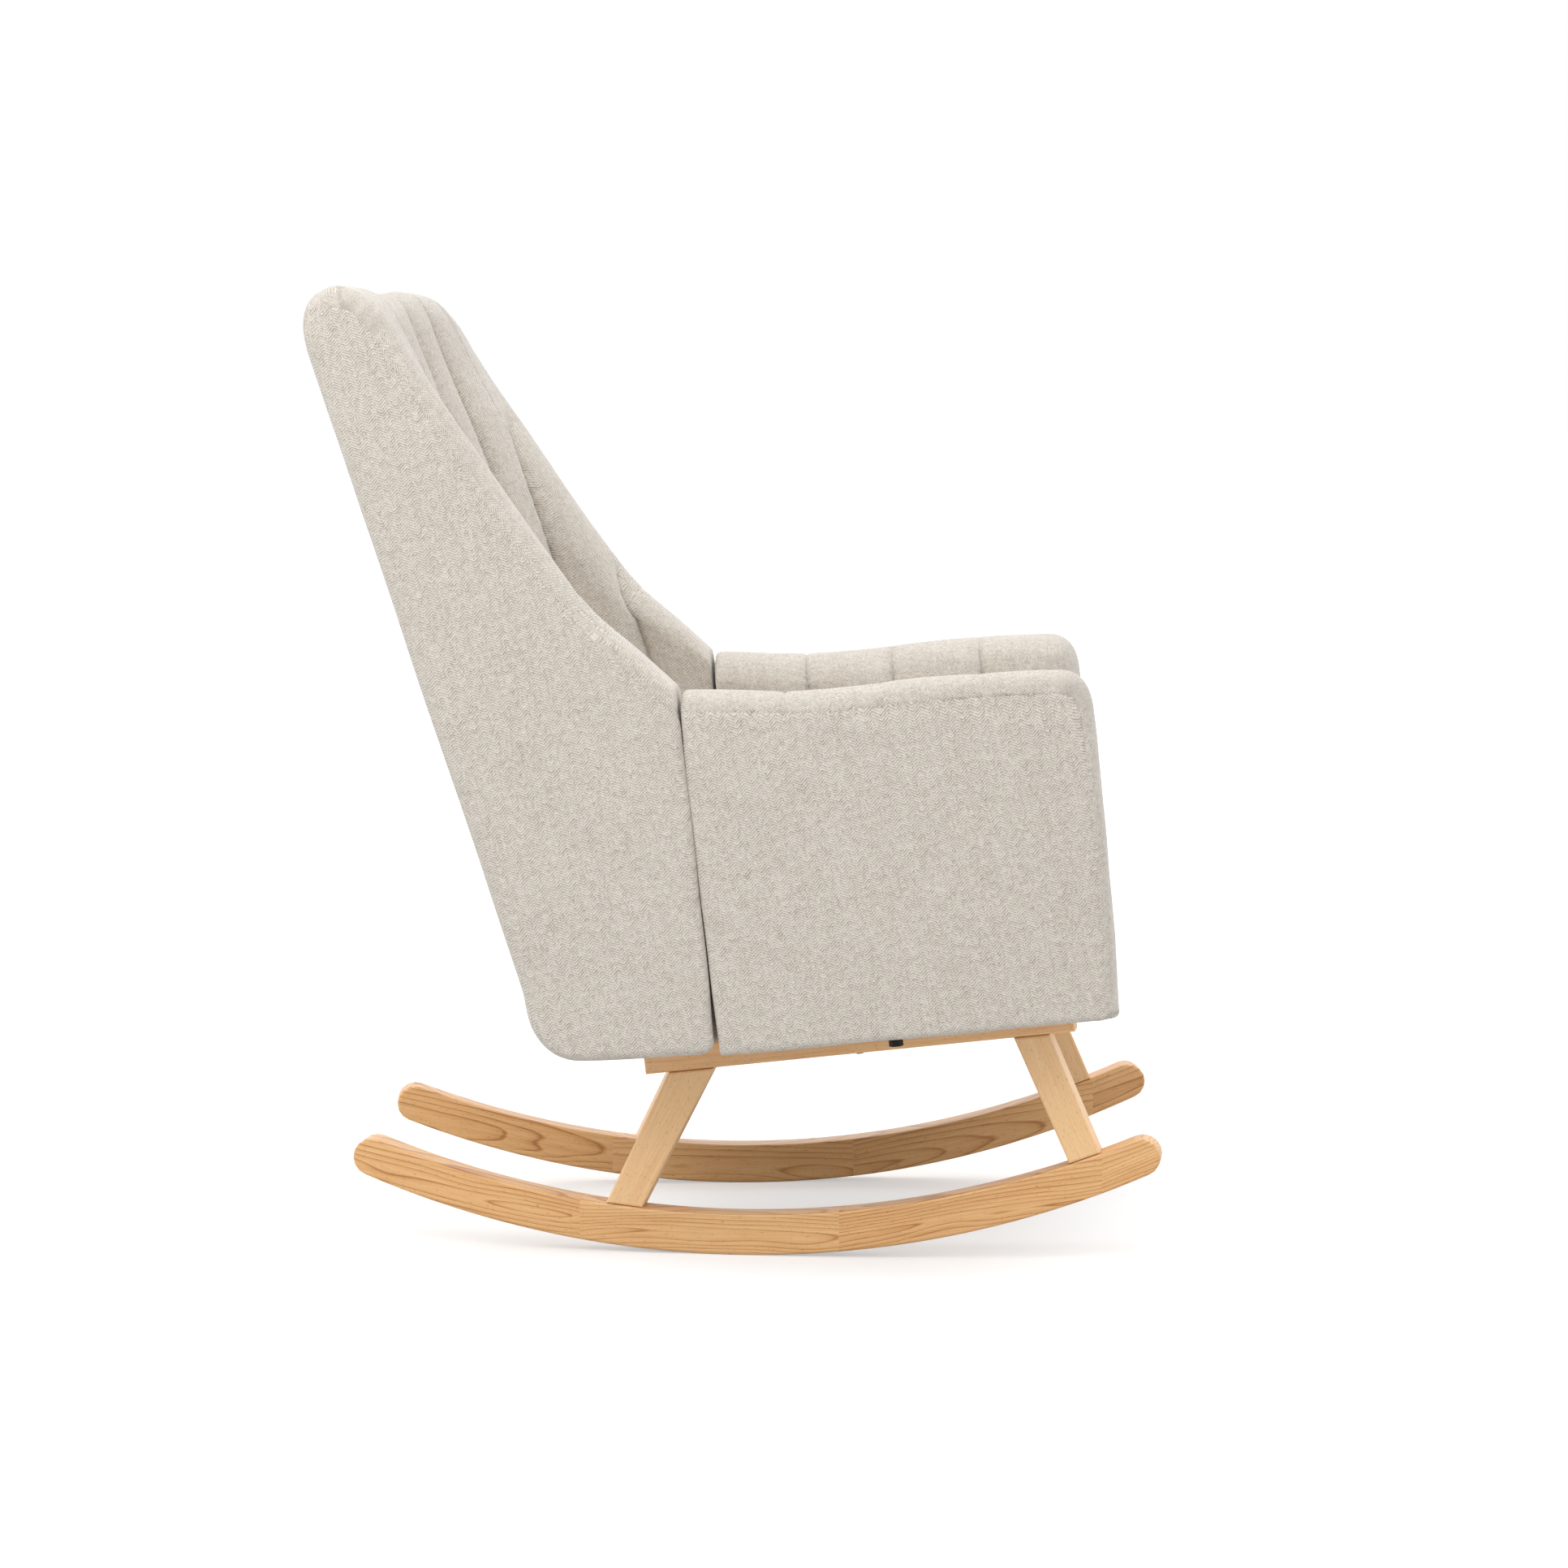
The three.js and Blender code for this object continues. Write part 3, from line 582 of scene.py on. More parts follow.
def metal(name, dark, light, rough, metallic):
    n = Nodes(name)
    mark = n.noise(n.place(), 240.0, 4.0, 0.6)
    brush = n.noise(n.place(), 1400.0, 2.0, 0.5)
    color = n.ramp(mark, (0.35, dark), (0.7, light))
    n.bump(brush, 0.0001, 0.3)
    roughness = n.math("MULTIPLY_ADD", mark, 0.25, rough)
    return n.set(Base_Color=color, Roughness=roughness, Metallic=metallic)


FABRIC = herringbone()
WEAVE_LEAN = math.radians(16.0)  # of the outer panels' columns, back from upright


# ---------------------------------------------------------------- upholstered back
# in BACK_SPACE: w is the offset forward from the rear face
JOINT_W_TOP = 257.0
JOINT_GAP = 0.6
WING_FRONT = [
    (93, 955), (101, 926), (112, 893), (129, 846), (145, 798), (168, 735),
    (197, 671), (212, 648), (226, 631), (240, 613), (JOINT_W_TOP, 591),
]


def rear_y(z):
    """The rear face's Y in the outlines' frame."""
    return BACK_BOTTOM_Y + (z - BACK_BOTTOM_Z) * RECLINE


def joint_slot(z):
    """How wide the slot between wing and arm has opened at a height."""
    return 1.0 * smooth(570.0, 500.0, z) + 3.2 * smooth(480.0, 232.0, z)


def joint_w(z):
    """The front of the wings where they meet the arms, with a slot that opens downwards."""
    return rear_y(z) - (JOINT_Y + (z - JOINT_Z) * JOINT_SLOPE) - JOINT_GAP - joint_slot(z)


TOP_FRONT = bezier((46, BACK_TOP_Z - 2), (80, BACK_TOP_Z - 3), (93, 955), 12)[:-1]
wing_free = Outline(np.vstack([
    [(-150, BACK_TOP_Z - 2), (-60, BACK_TOP_Z - 2), (20, BACK_TOP_Z - 2)],
    TOP_FRONT,
    spline(WING_FRONT),
    [(330, 495), (330, 100), (-150, 100)],
]))
wing_rear = Outline(np.vstack([
    bezier((40, BACK_BOTTOM_Z), (0, BACK_BOTTOM_Z), (0, BACK_BOTTOM_Z + 44)),
    bezier((0, BACK_TOP_Z - 74), (0, BACK_TOP_Z - 2), (70, BACK_TOP_Z), 16),
    [(330, BACK_TOP_Z), (330, BACK_BOTTOM_Z)],
]))
wing_tight = Outline(np.vstack([
    [(-150, BACK_BOTTOM_Z)],
    [(-150, BACK_TOP_Z + 150), (joint_w(BACK_TOP_Z), BACK_TOP_Z + 150)],
    [(joint_w(z), z) for z in np.linspace(BACK_TOP_Z, BACK_BOTTOM_Z + 16, 40)],
    bezier(
        (joint_w(235.0), 234.0), (joint_w(225.0), 223.0),
        (joint_w(225.0) - 14, BACK_BOTTOM_Z + 1), 5,
    ),
]))

# (x, w) of the crests round the inside of the back, from the middle to the wing
CAVITY_CURVE = spline([
    (-60, 67.5), (0, 66), (40, 67.5), (78, 72), (120, 78.5), (156, 87), (192, 97), (220, 109),
    (240, 124), (254, 146), (262, 172), (266, 205), (268, 245), (268, 330),
], 6.0)
INNER_CURVE = CAVITY_CURVE[CAVITY_CURVE[:, 0] >= -0.5]
cavity_outline = Outline(np.vstack([CAVITY_CURVE, [(-60, 330)]]))

WING_SEAM = 22.0  # from the wing's front edge to the outer panel's seam
WING_INNER = 262.0  # |x| where the wing's inner face is
LAP = 0.5  # an outer panel's folded edge stands this far proud of the cover under it


def beside_deck(y, z):
    """1 beside the seat box, where arms and wings meet the deck, and 0 above it."""
    deck = SEAT_Z + DECK_TOP - y * math.tan(SEAT_PITCH)
    return smooth(deck + 30.0, deck - 5.0, z)


def sides_beside_deck(ax, w, z):
    return beside_deck(rear_y(z) - w, z) * smooth(235.0, 258.0, ax)


def back_body(x, w, z):
    """The whole stuffed back: two wings and the crowned middle between them."""
    ax = np.abs(x)
    out = ax - BACK_SIDE
    # the wings' lower edge sags at the rear and rises towards the joint
    lower = smooth(242.0, 256.0, ax) * smooth(300.0, 225.0, z)
    hung = z + (1.0 - 6.5 * smooth(40.0, 170.0, w)) * lower
    close = joint_slot(z) * smooth(330.0, 300.0, ax)  # the slot is open only near the outer face
    free, rear, tight = wing_free(w, z), wing_rear(w, hung), wing_tight(w - close, hung)
    fill = 12.0  # the wings' stuffing reaches in to the deck below the cushion
    cavity = -cavity_outline(ax, w) - fill * sides_beside_deck(ax, w, z)
    wing = smooth(170.0, WING_INNER, ax)
    full = smooth(560.0, 680.0, z)  # the edges tighten towards the joint with the arms
    # the pairs of numbers below are the elliptical edges' radii
    front = both(free, out, 12.0 + 14.0 * full, 16.0 + 18.0 * full)
    crisp = smooth(300.0, 245.0, z)
    behind = both(rear, out, 18.0 - 10.0 * crisp, 24.0 - 14.0 * crisp)
    joint = both(tight, out, 6.0, 6.0)
    edge_up = 76.0 + wing * (-64.0 + 30.0 * full)
    edge_in = 36.0 + wing * (-20.0 + 34.0 * full)
    inside = both(free, cavity, edge_up, edge_in)
    inner_joint = both(tight, cavity, 2.0)
    return np.maximum.reduce([front, behind, joint, inside, inner_joint])


def seam_region(w, z):
    """Negative inside the outer side panel of the back."""
    return wing_free(w, z) + WING_SEAM


REAR_COVER_HALF, REAR_COVER_DEPTH, REAR_COVER_CORNER = 262.0, 9.0, 14.0
SEAM_UNDER = 5.0  # a cover runs on this far under the panel sewn over it


def rear_cover_region(x, w, z):
    return np.maximum(
        both(np.abs(x) - REAR_COVER_HALF, z - CROWN_Z, REAR_COVER_CORNER),
        w - REAR_COVER_DEPTH,
    )


def back_shell(x, w, z):
    hollow = np.maximum(seam_region(w, z) + SEAM_UNDER, BACK_SIDE - PANEL_THICK - np.abs(x))
    body = both(back_body(x, w, z), -hollow, 2.0)  # with a rounded lip where it is cut back
    return both(body, -rear_cover_region(x, w, z), 3.0)


def back_side_panel(x, w, z):
    inner = both(seam_region(w, z), BACK_SIDE - PANEL_THICK + 0.6 - np.abs(x), 1.5)
    return both(back_body(x, w, z) - LAP * smooth(960.0, 880.0, z), inner, 2.4)


def back_rear_cover(x, w, z):
    edge = both(np.abs(x) - REAR_COVER_HALF + 0.8, z - CROWN_Z + 0.8, REAR_COVER_CORNER)
    region = both(edge, w - REAR_COVER_DEPTH + 0.5, 1.5)
    return both(back_body(x, w, z), region, 3.5)


# arc length along the crest of the channels, from the middle of the back
CURVE_S = np.concatenate([[0.0], np.cumsum(np.hypot(*np.diff(INNER_CURVE, axis=0).T))])


def along_curve(ax, w):
    best = np.full(ax.shape, 1e12)
    s = np.zeros(ax.shape)
    for i in range(len(INNER_CURVE) - 1):
        a, b = INNER_CURVE[i], INNER_CURVE[i + 1]
        e = b - a
        t = np.clip(((ax - a[0]) * e[0] + (w - a[1]) * e[1]) / (e @ e), 0, 1)
        d = (ax - a[0] - t * e[0]) ** 2 + (w - a[1] - t * e[1]) ** 2
        near = d < best
        best = np.where(near, d, best)
        s = np.where(near, CURVE_S[i] + t * math.hypot(*e), s)
    return s


BACK_VALLEYS_X = (39.0, 117.0, 195.0)  # across the middle
BACK_VALLEYS_W = (127.0, 189.0, 251.0)  # along the wings


def back_strips(ax, w):
    """Position across the channels, whole numbers at the valleys, and the local width."""
    x_valleys, w_valleys = BACK_VALLEYS_X, BACK_VALLEYS_W
    middle = np.interp(ax, (0.0,) + x_valleys, (0.5, 1.0, 2.0, 3.0))
    side = np.maximum(ax - x_valleys[-1], 0.0)
    ahead = np.maximum(w_valleys[0] - w, 0.0)
    corner = 3.0 + side / np.maximum(side + ahead, 1e-6)
    pitch = w_valleys[1] - w_valleys[0]
    wing = np.minimum(4.0 + (w - w_valleys[0]) / pitch, 5.5)  # none beyond the second
    place = np.where(ax < x_valleys[-1], middle, np.where(w < w_valleys[0], corner, wing))
    width = np.where(ax < x_valleys[-1], x_valleys[1] - x_valleys[0], pitch)
    return place, width


CREASE_WIDTH, GATHER_WIDTH = 2.4, 9.0  # how far a seam's stitch and its gathers reach
PUCKER_FROM = 318.0  # |x| of the face that the outer panels' seams pucker


def seam_pucker(away, ax, wave):
    """Small folds in a cover, running off from the seam of the panel beside it."""
    away = np.clip(away, 0, 40)
    return smooth(0, 5, away) * np.exp(-away / GATHER_WIDTH) * (ax > PUCKER_FROM) * wave


def channel(place, width, sharp=0.996):
    """0 on the crest of a channel, 1 in the sewn valley, and the distance to the valley."""
    t = np.clip(np.abs(2 * (place - np.floor(place)) - 1), 0, 1)
    near = (1 - t) * width / 2
    arc = 1 - np.sqrt(1 - (sharp * t) ** 2)
    return arc / (1 - math.sqrt(1 - sharp ** 2)), near


def back_detail(p, normal):
    """How far each point of the back's cover stands proud: channels, gathers and slack."""
    x, w, z = p.T
    ax = np.abs(x)
    place, width = back_strips(ax, w)
    sunk, near = channel(place, width)
    depth = np.where(place < 3, 14.0, 13.0)  # of the middle's channels and the wings'
    crown = 1 - 0.92 * smooth(935.0, 985.0, z) * smooth(110.0, 60.0, w)
    outer = smooth(332.0, 272.0, ax)
    over = smooth(-4.0, 24.0, w)
    rise = smooth(916.0, 950.0, z)  # the channels close up at the rear cover's top edge
    middle = over + (1 - over) * 0.35 * rise
    behind = np.where(ax < WING_INNER, middle, smooth(20.0, 60.0, w))
    fade = crown * outer * behind * (1 - sides_beside_deck(ax, w, z))
    crease = 4.5 * np.exp(-near / CREASE_WIDTH)
    gather = np.exp(-near / GATHER_WIDTH) * waves(z / 15.0 + np.floor(place + 0.5) * 7.7, 11) * 0.8
    pucker = seam_pucker(seam_region(w, z), ax, waves((w - z) / 11.0, 5)) * 1.1
    corner = 1.9 * smooth(890.0, 945.0, z) * smooth(20.0, 45.0, w) + 0.9
    # the stuffing crowns the top between the wings
    level = smooth(0.2, 0.9, normal[:, 2]) * smooth(900.0, 950.0, z)
    crest = 5.0 * level * smooth(45.0, 90.0, w) * smooth(325.0, 275.0, ax)
    return (gather - crease - depth * sunk) * fade + back_slack(p) + pucker * corner + crest


def back_slack(p):
    return billow(p, 130.0, 21) * 0.55


OUTSIDE_FROM = 315.0  # |x| where a cover has turned over the roll onto the outer face


def back_weave(p):
    """The cover's own coordinates: across the channels, and along them over the roll."""
    x, w, z = p.T
    ax = np.abs(x)
    s = along_curve(ax, w)
    length = z * math.hypot(1, RECLINE)
    crest = np.interp(ax, INNER_CURVE[:, 0], INNER_CURVE[:, 1])
    over = np.maximum(crest - w, 0) * smooth(900, 960, z)
    edge = wing_free(w, z)
    du, dv = slope(wing_free, w, z)
    out = np.clip(ax - WING_INNER, 0, 90) + np.where(ax > OUTSIDE_FROM, -2 * edge, 0.0)
    out = np.where(edge > -70, out, 0.0)
    wing = (ax > WING_INNER) | (w > BACK_VALLEYS_W[0])
    u = np.where(wing, w + out * du, s * np.sign(x))
    v = np.where(wing, length + out * dv, length + over)
    rear = w < 29 + 26 * smooth(170.0, WING_INNER, ax)
    under = z < BACK_BOTTOM_Z + 5  # the underside keeps (x, depth)
    u = np.where(rear | under, x, u)
    v = np.where(rear, -length - w, v)
    v = np.where(under, w - length, v)
    return np.stack([u, v], 1)


def panel_weave(lean, space):
    """Coordinates of a flat panel cut with its columns along a line leaning back by lean."""
    c, s = math.cos(lean), math.sin(lean)

    def weave(p):
        real = space.real(p)
        y, z = real[:, 1], real[:, 2]
        depth = np.abs(real[:, 0])
        return np.stack([y * c - z * s - depth, y * s + z * c + depth], 1)

    return weave


def soft_piece(name, field, space, axes, detail, weave, nodes):
    """A stuffed piece from a field in its own space, relieved along its normals."""
    points, faces = surface_net(field, axes)
    points = settle(field, points)
    normal = space.normals(gradient(field, points))
    moved = space.real(points) + normal * detail(points, normal)[:, None]
    obj = make_mesh(name, moved, faces, weave(points))
    finish_piece(obj, FABRIC, "upholstery", *nodes)
    return obj


FINE = 4.0  # mesh step of the covers
BACK_Z = even(212.0, 1004.0, FINE)
BACK_W = (-8.0, 266.0)
soft_piece(
    "back_upholstery", back_shell, BACK_SPACE,
    (
        graded(-362.0, 362.0, sorted([-x for x in BACK_VALLEYS_X] + list(BACK_VALLEYS_X))),
        graded(*BACK_W, BACK_VALLEYS_W),
        BACK_Z,
    ),
    back_detail, back_weave, ("back_pad", "wing_pad_right", "wing_pad_left"),
)


def panel_detail(region, size, crown, slack, seed):
    """A padded panel's relief: fuller away from its seam, with small gathers along it."""

    def detail(p, normal):
        a, b = p[:, 1], p[:, 2]
        inset = np.maximum(-region(a, b), 0)
        full = crown * (1 - np.exp(-inset / size))
        fold = (waves((a - b) / 14.0, seed) + 0.8) * 0.7
        return full + np.exp(-inset / 12.0) * smooth(0, 4, inset) * fold + slack(p)

    return detail


SIDES = (("right", -1), ("left", 1))  # the sitter's, with the sign of x


def side_span(sign, inner, outer, step):
    low, high = sorted((sign * inner, sign * outer))
    return even(low, high, step)


PANEL_STEP = 2.2  # mesh step through an outer panel's thickness


for side_name, sign in SIDES:
    soft_piece(
        "back_side_panel_" + side_name, back_side_panel, BACK_SPACE,
        (
            side_span(sign, BACK_SIDE - PANEL_THICK - 4, BACK_SIDE + 6, PANEL_STEP),
            even(*BACK_W, FINE), BACK_Z,
        ),
        panel_detail(seam_region, 34.0, 1.6, back_slack, 31 + sign),
        panel_weave(WEAVE_LEAN, BACK_SPACE), ("wing_outer_panel_" + side_name,),
    )


def rear_detail(p, normal):
    x, w, z = p.T
    inset = np.maximum(np.minimum(REAR_COVER_HALF - np.abs(x), CROWN_Z - z), 0)
    full = 2.5 * (1 - np.exp(-inset / 40.0))
    gather = np.exp(-inset / 10.0) * waves((np.abs(x) + z) / 17.0, 41) * 0.6
    return np.where(w < 5, full + gather + billow(p, 130.0, 43) * 0.8, 0.0)


def rear_weave(p):
    return np.stack([p[:, 0], p[:, 2] * math.hypot(1, RECLINE)], 1)


soft_piece(
    "back_rear_cover", back_rear_cover, BACK_SPACE,
    (even(-268.0, 268.0, FINE), even(-6.0, 16.0, 2.0), even(212.0, 930.0, FINE)),
    rear_detail, rear_weave, ("back_rear_panel",),
)


# ---------------------------------------------------------------- arms
def arm_bottom(y):
    return 225.0 - y * 0.0985


def arm_q(y, z):
    return y - JOINT_SLOPE * (z - JOINT_Z)


def arm_y(q, z):
    return q + JOINT_SLOPE * (z - JOINT_Z)


ARM_REAR_Q = JOINT_Y - 0.7
ARM_TOP = [(-20, 588), (-90, 591), (-160, 600), (-230, 607), (-290, 610)]
ARM_VALLEYS = np.array([-375.0, -276.0, -175.5, -79.0, ARM_REAR_Q - 1.0])
ARM_PITCH = 99.0


def arm_front(z):
    """The arm's front edge, as y."""
    return -358.0 - (464.0 - z) * 0.1008 if z > 345 else -370.0 - (345.0 - z) * 0.05


def arm_free_edge(drop=0.0, inset=0.0, corner=25.0):
    """The arm's top and front edges as (q, z), open towards the rear and the bottom."""
    top = [(arm_q(y, z), z - drop) for y, z in [(120.0, 592.0), (68.0, 590.0)] + ARM_TOP]
    high = 611.0 - drop
    head = (arm_q(-341.0 + inset, high + drop), high)
    low = high - corner * 1.4
    end = (arm_q(arm_front(low) + inset, low), low)
    return np.vstack([
        spline(top)[:-1],
        bezier((head[0] + corner * 1.2, high - 0.3), head, end, 12),
        [(arm_q(arm_front(z) + inset, z), z) for z in (464.0, 345.0, 263.0, 180.0)],
        [(200.0, 150.0), (200.0, 592.0 - drop)],
    ])


def arm_tight_edge():
    """The arm's rear and bottom edges, open towards the top and the front."""
    low = arm_bottom(-374.0) + 1.0
    foot = (arm_q(arm_front(low), low), low)
    return np.vstack([
        [(ARM_REAR_Q, 760.0), (foot[0] - 90, 760.0), (foot[0] - 90, low + 9.0)],
        [(foot[0], low)],
        [(arm_q(27.0, arm_bottom(27.0)), arm_bottom(27.0) + 1.0)],
        [(ARM_REAR_Q, arm_bottom(27.0) + 1.0)],
    ])


arm_edge = Outline(arm_free_edge())
arm_tight = Outline(arm_tight_edge())
arm_free = Outline(arm_free_edge(19.0, 11.0, 19.0))  # the outer panel's seam


def arm_body(x, q, z):
    ax = np.abs(x)
    edge, tight = arm_edge(q, z), arm_tight(q, z)
    out, inner = ax - ARM_OUTER, ARM_INNER - ax
    top = smooth(500.0, 570.0, z)
    outside = both(edge, out, 15.0 + 10.0 * top, 29.0 + 4.0 * top)
    inside = both(edge, inner, 24.0 + 18.0 * top, 40.0 + 24.0 * top)
    close = np.maximum(both(tight, out, 6.0), both(tight, inner, 2.5))
    return both(np.maximum(outside, inside), close, 4.0 + 7.0 * smooth(556.0, 584.0, z))


def rail_room(x, q, z):
    """Negative in the room that an arm's underside leaves for the rail."""
    y = arm_y(q, z)
    ax = np.abs(x) - FRAME_HALF_WIDTH
    across = ax * math.cos(TOE) + y * math.sin(TOE)
    along = -ax * math.sin(TOE) + y * math.cos(TOE)
    top = RAIL_REAR_Z + (RAIL_REAR_Y - along) * RAIL_SLOPE + RAIL_HEIGHT + 1.5
    inner = -FRAME_THICK - 20.0 - across
    return np.maximum.reduce([across - 2.0, z - top, inner, top - 60.0 - z])


def arm_shell(x, q, z):
    hollow = np.maximum(arm_free(q, z) + SEAM_UNDER, ARM_OUTER - PANEL_THICK - np.abs(x))
    body = both(arm_body(x, q, z), -hollow, 2.0)
    return np.maximum(body, -rail_room(x, q, z))


ARM_LAP = 1.2  # along the top, the roll's cover laps over the panel, this far proud of it


def arm_panel(x, q, z):
    inner = both(arm_free(q, z), ARM_OUTER - PANEL_THICK + 0.6 - np.abs(x), 1.5)
    under = ARM_LAP * smooth(500.0, 560.0, z)
    return both(arm_body(x, q, z) + under, inner, 2.4)


def arm_slack(p):
    return billow(p, 120.0, 67) * 0.5


ARM_CHANNEL = 9.5  # depth of the channels


def arm_detail(p, normal):
    x, q, z = p.T
    ax = np.abs(x)
    place = np.interp(q, ARM_VALLEYS, np.arange(len(ARM_VALLEYS)))
    sunk, near = channel(place, ARM_PITCH)
    fade = smooth(334.0, 264.0, ax)
    low = beside_deck(arm_y(q, z), z)
    fade = fade * smooth(-372.0, -345.0, q) * smooth(ARM_REAR_Q, ARM_REAR_Q - 12.0, q) * (1 - low)
    crease = 3.5 * np.exp(-near / CREASE_WIDTH)
    fold = 2.2 * np.exp(-near / 2.0) * (1 - fade)  # the rearmost seam runs on over the roll
    fold = fold * smooth(354.0, 326.0, ax) * smooth(-125.0, -110.0, q)
    row = np.round(q / 90.0) * 5.3  # so that the seams gather differently
    gather = np.exp(-near / GATHER_WIDTH) * waves((z + ax) / 14.0 + row, 61) * 0.8
    pucker = seam_pucker(arm_free(q, z), ax, waves((q + 0.3 * z) / 16.0, 65)) * 0.6
    meet = 3.0 * low * smooth(268.0, 258.0, ax)
    relief = (gather - crease - ARM_CHANNEL * sunk) * fade
    return relief - fold + pucker + arm_slack(p) + meet


def arm_weave(p):
    """The cover's own coordinates: up the inner face, over the roll and down outside."""
    x, q, z = p.T
    ax = np.abs(x)
    edge = arm_edge(q, z)
    du, dv = slope(arm_edge, q, z)
    out = np.clip(ax - ARM_INNER, 0, 100) + np.where(ax > OUTSIDE_FROM, -2 * edge, 0.0)
    under = z < arm_bottom(arm_y(q, z)) + 5
    return np.stack([q + out * du, np.where(under, ax, z + out * dv)], 1)


ARM_Z = even(216.0, 620.0, FINE)
ARM_Q = (-406.0, 34.0)
for side_name, sign in SIDES:
    soft_piece(
        "arm_upholstery_" + side_name, arm_shell, ARM_SPACE,
        (
            side_span(sign, ARM_INNER - 6, ARM_OUTER + 6, FINE),
            graded(*ARM_Q, ARM_VALLEYS[1:-1]), ARM_Z,
        ),
        arm_detail, arm_weave, ("arm_pad_" + side_name,),
    )
    soft_piece(
        "arm_side_panel_" + side_name, arm_panel, ARM_SPACE,
        (
            side_span(sign, ARM_OUTER - PANEL_THICK - 4, ARM_OUTER + 6, PANEL_STEP),
            even(*ARM_Q, FINE), ARM_Z,
        ),
        panel_detail(arm_free, 30.0, 1.5, arm_slack, 71 + sign),
        panel_weave(WEAVE_LEAN, ARM_SPACE), ("arm_outer_panel_" + side_name,),
    )


# ---------------------------------------------------------------- seat
def rounded_box(x, y, z, edge):
    """A field for a box given as ranges, with rounded edges all round."""

    def field(a, b, c):
        q = []
        for value, (low, high) in zip((a, b, c), (x, y, z)):
            q.append(np.abs(value - (low + high) / 2) - (high - low) / 2 + edge)
        outside = np.sqrt(sum(np.maximum(v, 0.0) ** 2 for v in q))
        inside = np.minimum(np.maximum(np.maximum(q[0], q[1]), q[2]), 0.0)
        return outside + inside - edge

    return field


def box_weave(low, high):
    """Top and bottom keep (x, y); the boxing band runs (distance round, height)."""

    def weave(p):
        face = np.minimum(p - low, high - p).argmin(1)
        x, y, z = p.T
        u = np.choose(face, [y, x, x])
        v = np.choose(face, [z, z, y])
        return np.stack([u, v], 1)

    return weave


SWELL_FRAMES = 20  # of cloth simulation


def swell(obj, pressure, cap):
    """Inflates a closed pad with a cloth simulation and caps how far any point moves."""
    start = mesh_points(obj.data)
    cloth = obj.modifiers.new("swell", "CLOTH")
    for key, value in dict(
        quality=5, mass=0.3, tension_stiffness=18, compression_stiffness=18, shear_stiffness=8,
        bending_stiffness=1.5, use_pressure=True, uniform_pressure_force=pressure,
    ).items():
        setattr(cloth.settings, key, value)
    cloth.settings.effector_weights.gravity = 0.0
    cloth.collision_settings.use_collision = False
    cloth.point_cache.frame_start = 1
    cloth.point_cache.frame_end = SWELL_FRAMES
    for number in range(1, SWELL_FRAMES + 1):
        SCENE.frame_set(number)
    swollen = mesh_points(evaluated(obj).data)
    obj.modifiers.remove(cloth)
    SCENE.frame_set(1)
    move = swollen - start
    length = np.linalg.norm(move, axis=1)
    return start + move * (np.minimum(length, cap) / np.maximum(length, 1e-9))[:, None]


CUSHION_X = (-CUSHION_HALF_WIDTH, CUSHION_HALF_WIDTH)
CUSHION_Y = (SEAT_FRONT - 12.0, SEAT_REAR + 46.0)
CUSHION_Z = (DECK_TOP + 1.0, CUSHION_TOP)
SEAM_FROM_TOP, SEAM_FROM_BASE = 32.0, 15.0


def slack_cushion():
    """The cushion's field and grid before it swells; its rear follows the back's recline."""
    x = (CUSHION_X[0] + 4.0, CUSHION_X[1] - 4.0)
    y = (CUSHION_Y[0] + 7.0, CUSHION_Y[1] - 4.0)
    z = (CUSHION_Z[0] + 2.0, CUSHION_Z[1] - 12.0)
    box = rounded_box(x, y, z, 20.0)

    def field(a, b, c):
        return box(a, b - (c - CUSHION_Z[0]) * 0.2 * smooth(0.0, CUSHION_Y[1], b), c)

    low = (x[0] - 8, y[0] - 8, z[0] - 8)
    high = (x[1] + 8, y[1] + 40, z[1] + 8)
    return field, [even(a, b, 6.0) for a, b in zip(low, high)]


def seat_cushion():
    field, axes = slack_cushion()
    points, faces = surface_net(field, axes)
    points = settle(field, points)
    obj = make_mesh("seat_cushion_cover", points, faces)
    points = swell(obj, pressure=4.0, cap=13.0)
    move_points(obj.data, points)
    divide = obj.modifiers.new("finer", "SUBSURF")
    divide.levels = divide.render_levels = 1
    divided = bpy.data.meshes.new_from_object(evaluated(obj))
    obj.modifiers.remove(divide)
    obj.data = divided
    p = mesh_points(divided)
    normal = read_vectors(divided.vertex_normals, "vector")
    p[:, 2] = np.maximum(p[:, 2], CUSHION_Z[0])
    seams = (p[:, 2].max() - SEAM_FROM_TOP, CUSHION_Z[0] + SEAM_FROM_BASE)
    away = np.minimum(np.abs(p[:, 2] - seams[0]), np.abs(p[:, 2] - seams[1]))
    rim = smooth(0.93, 0.75, np.abs(normal[:, 2]))
    groove = -3.2 * np.exp(-(away / 3.4) ** 2) * rim
    radius = 330.0  # about that of the boxing band
    ring = np.arctan2(p[:, 1] - p[:, 1].mean(), p[:, 0]) * radius
    gather = np.exp(-away / 11.0) * rim * waves(ring / 16.0, 81) * 0.8
    slack = billow(p, 110.0, 83) * 1.3
    p = p + normal * (groove + gather + slack)[:, None]
    weave = box_weave(p.min(0), p.max(0))(p)
    move_points(divided, SEAT_SPACE.real(p))
    set_weave(divided, weave)
    divided.polygons.foreach_set("use_smooth", np.ones(len(divided.polygons), bool))
    finish_piece(obj, FABRIC, "upholstery", "seat_cushion")


seat_cushion()


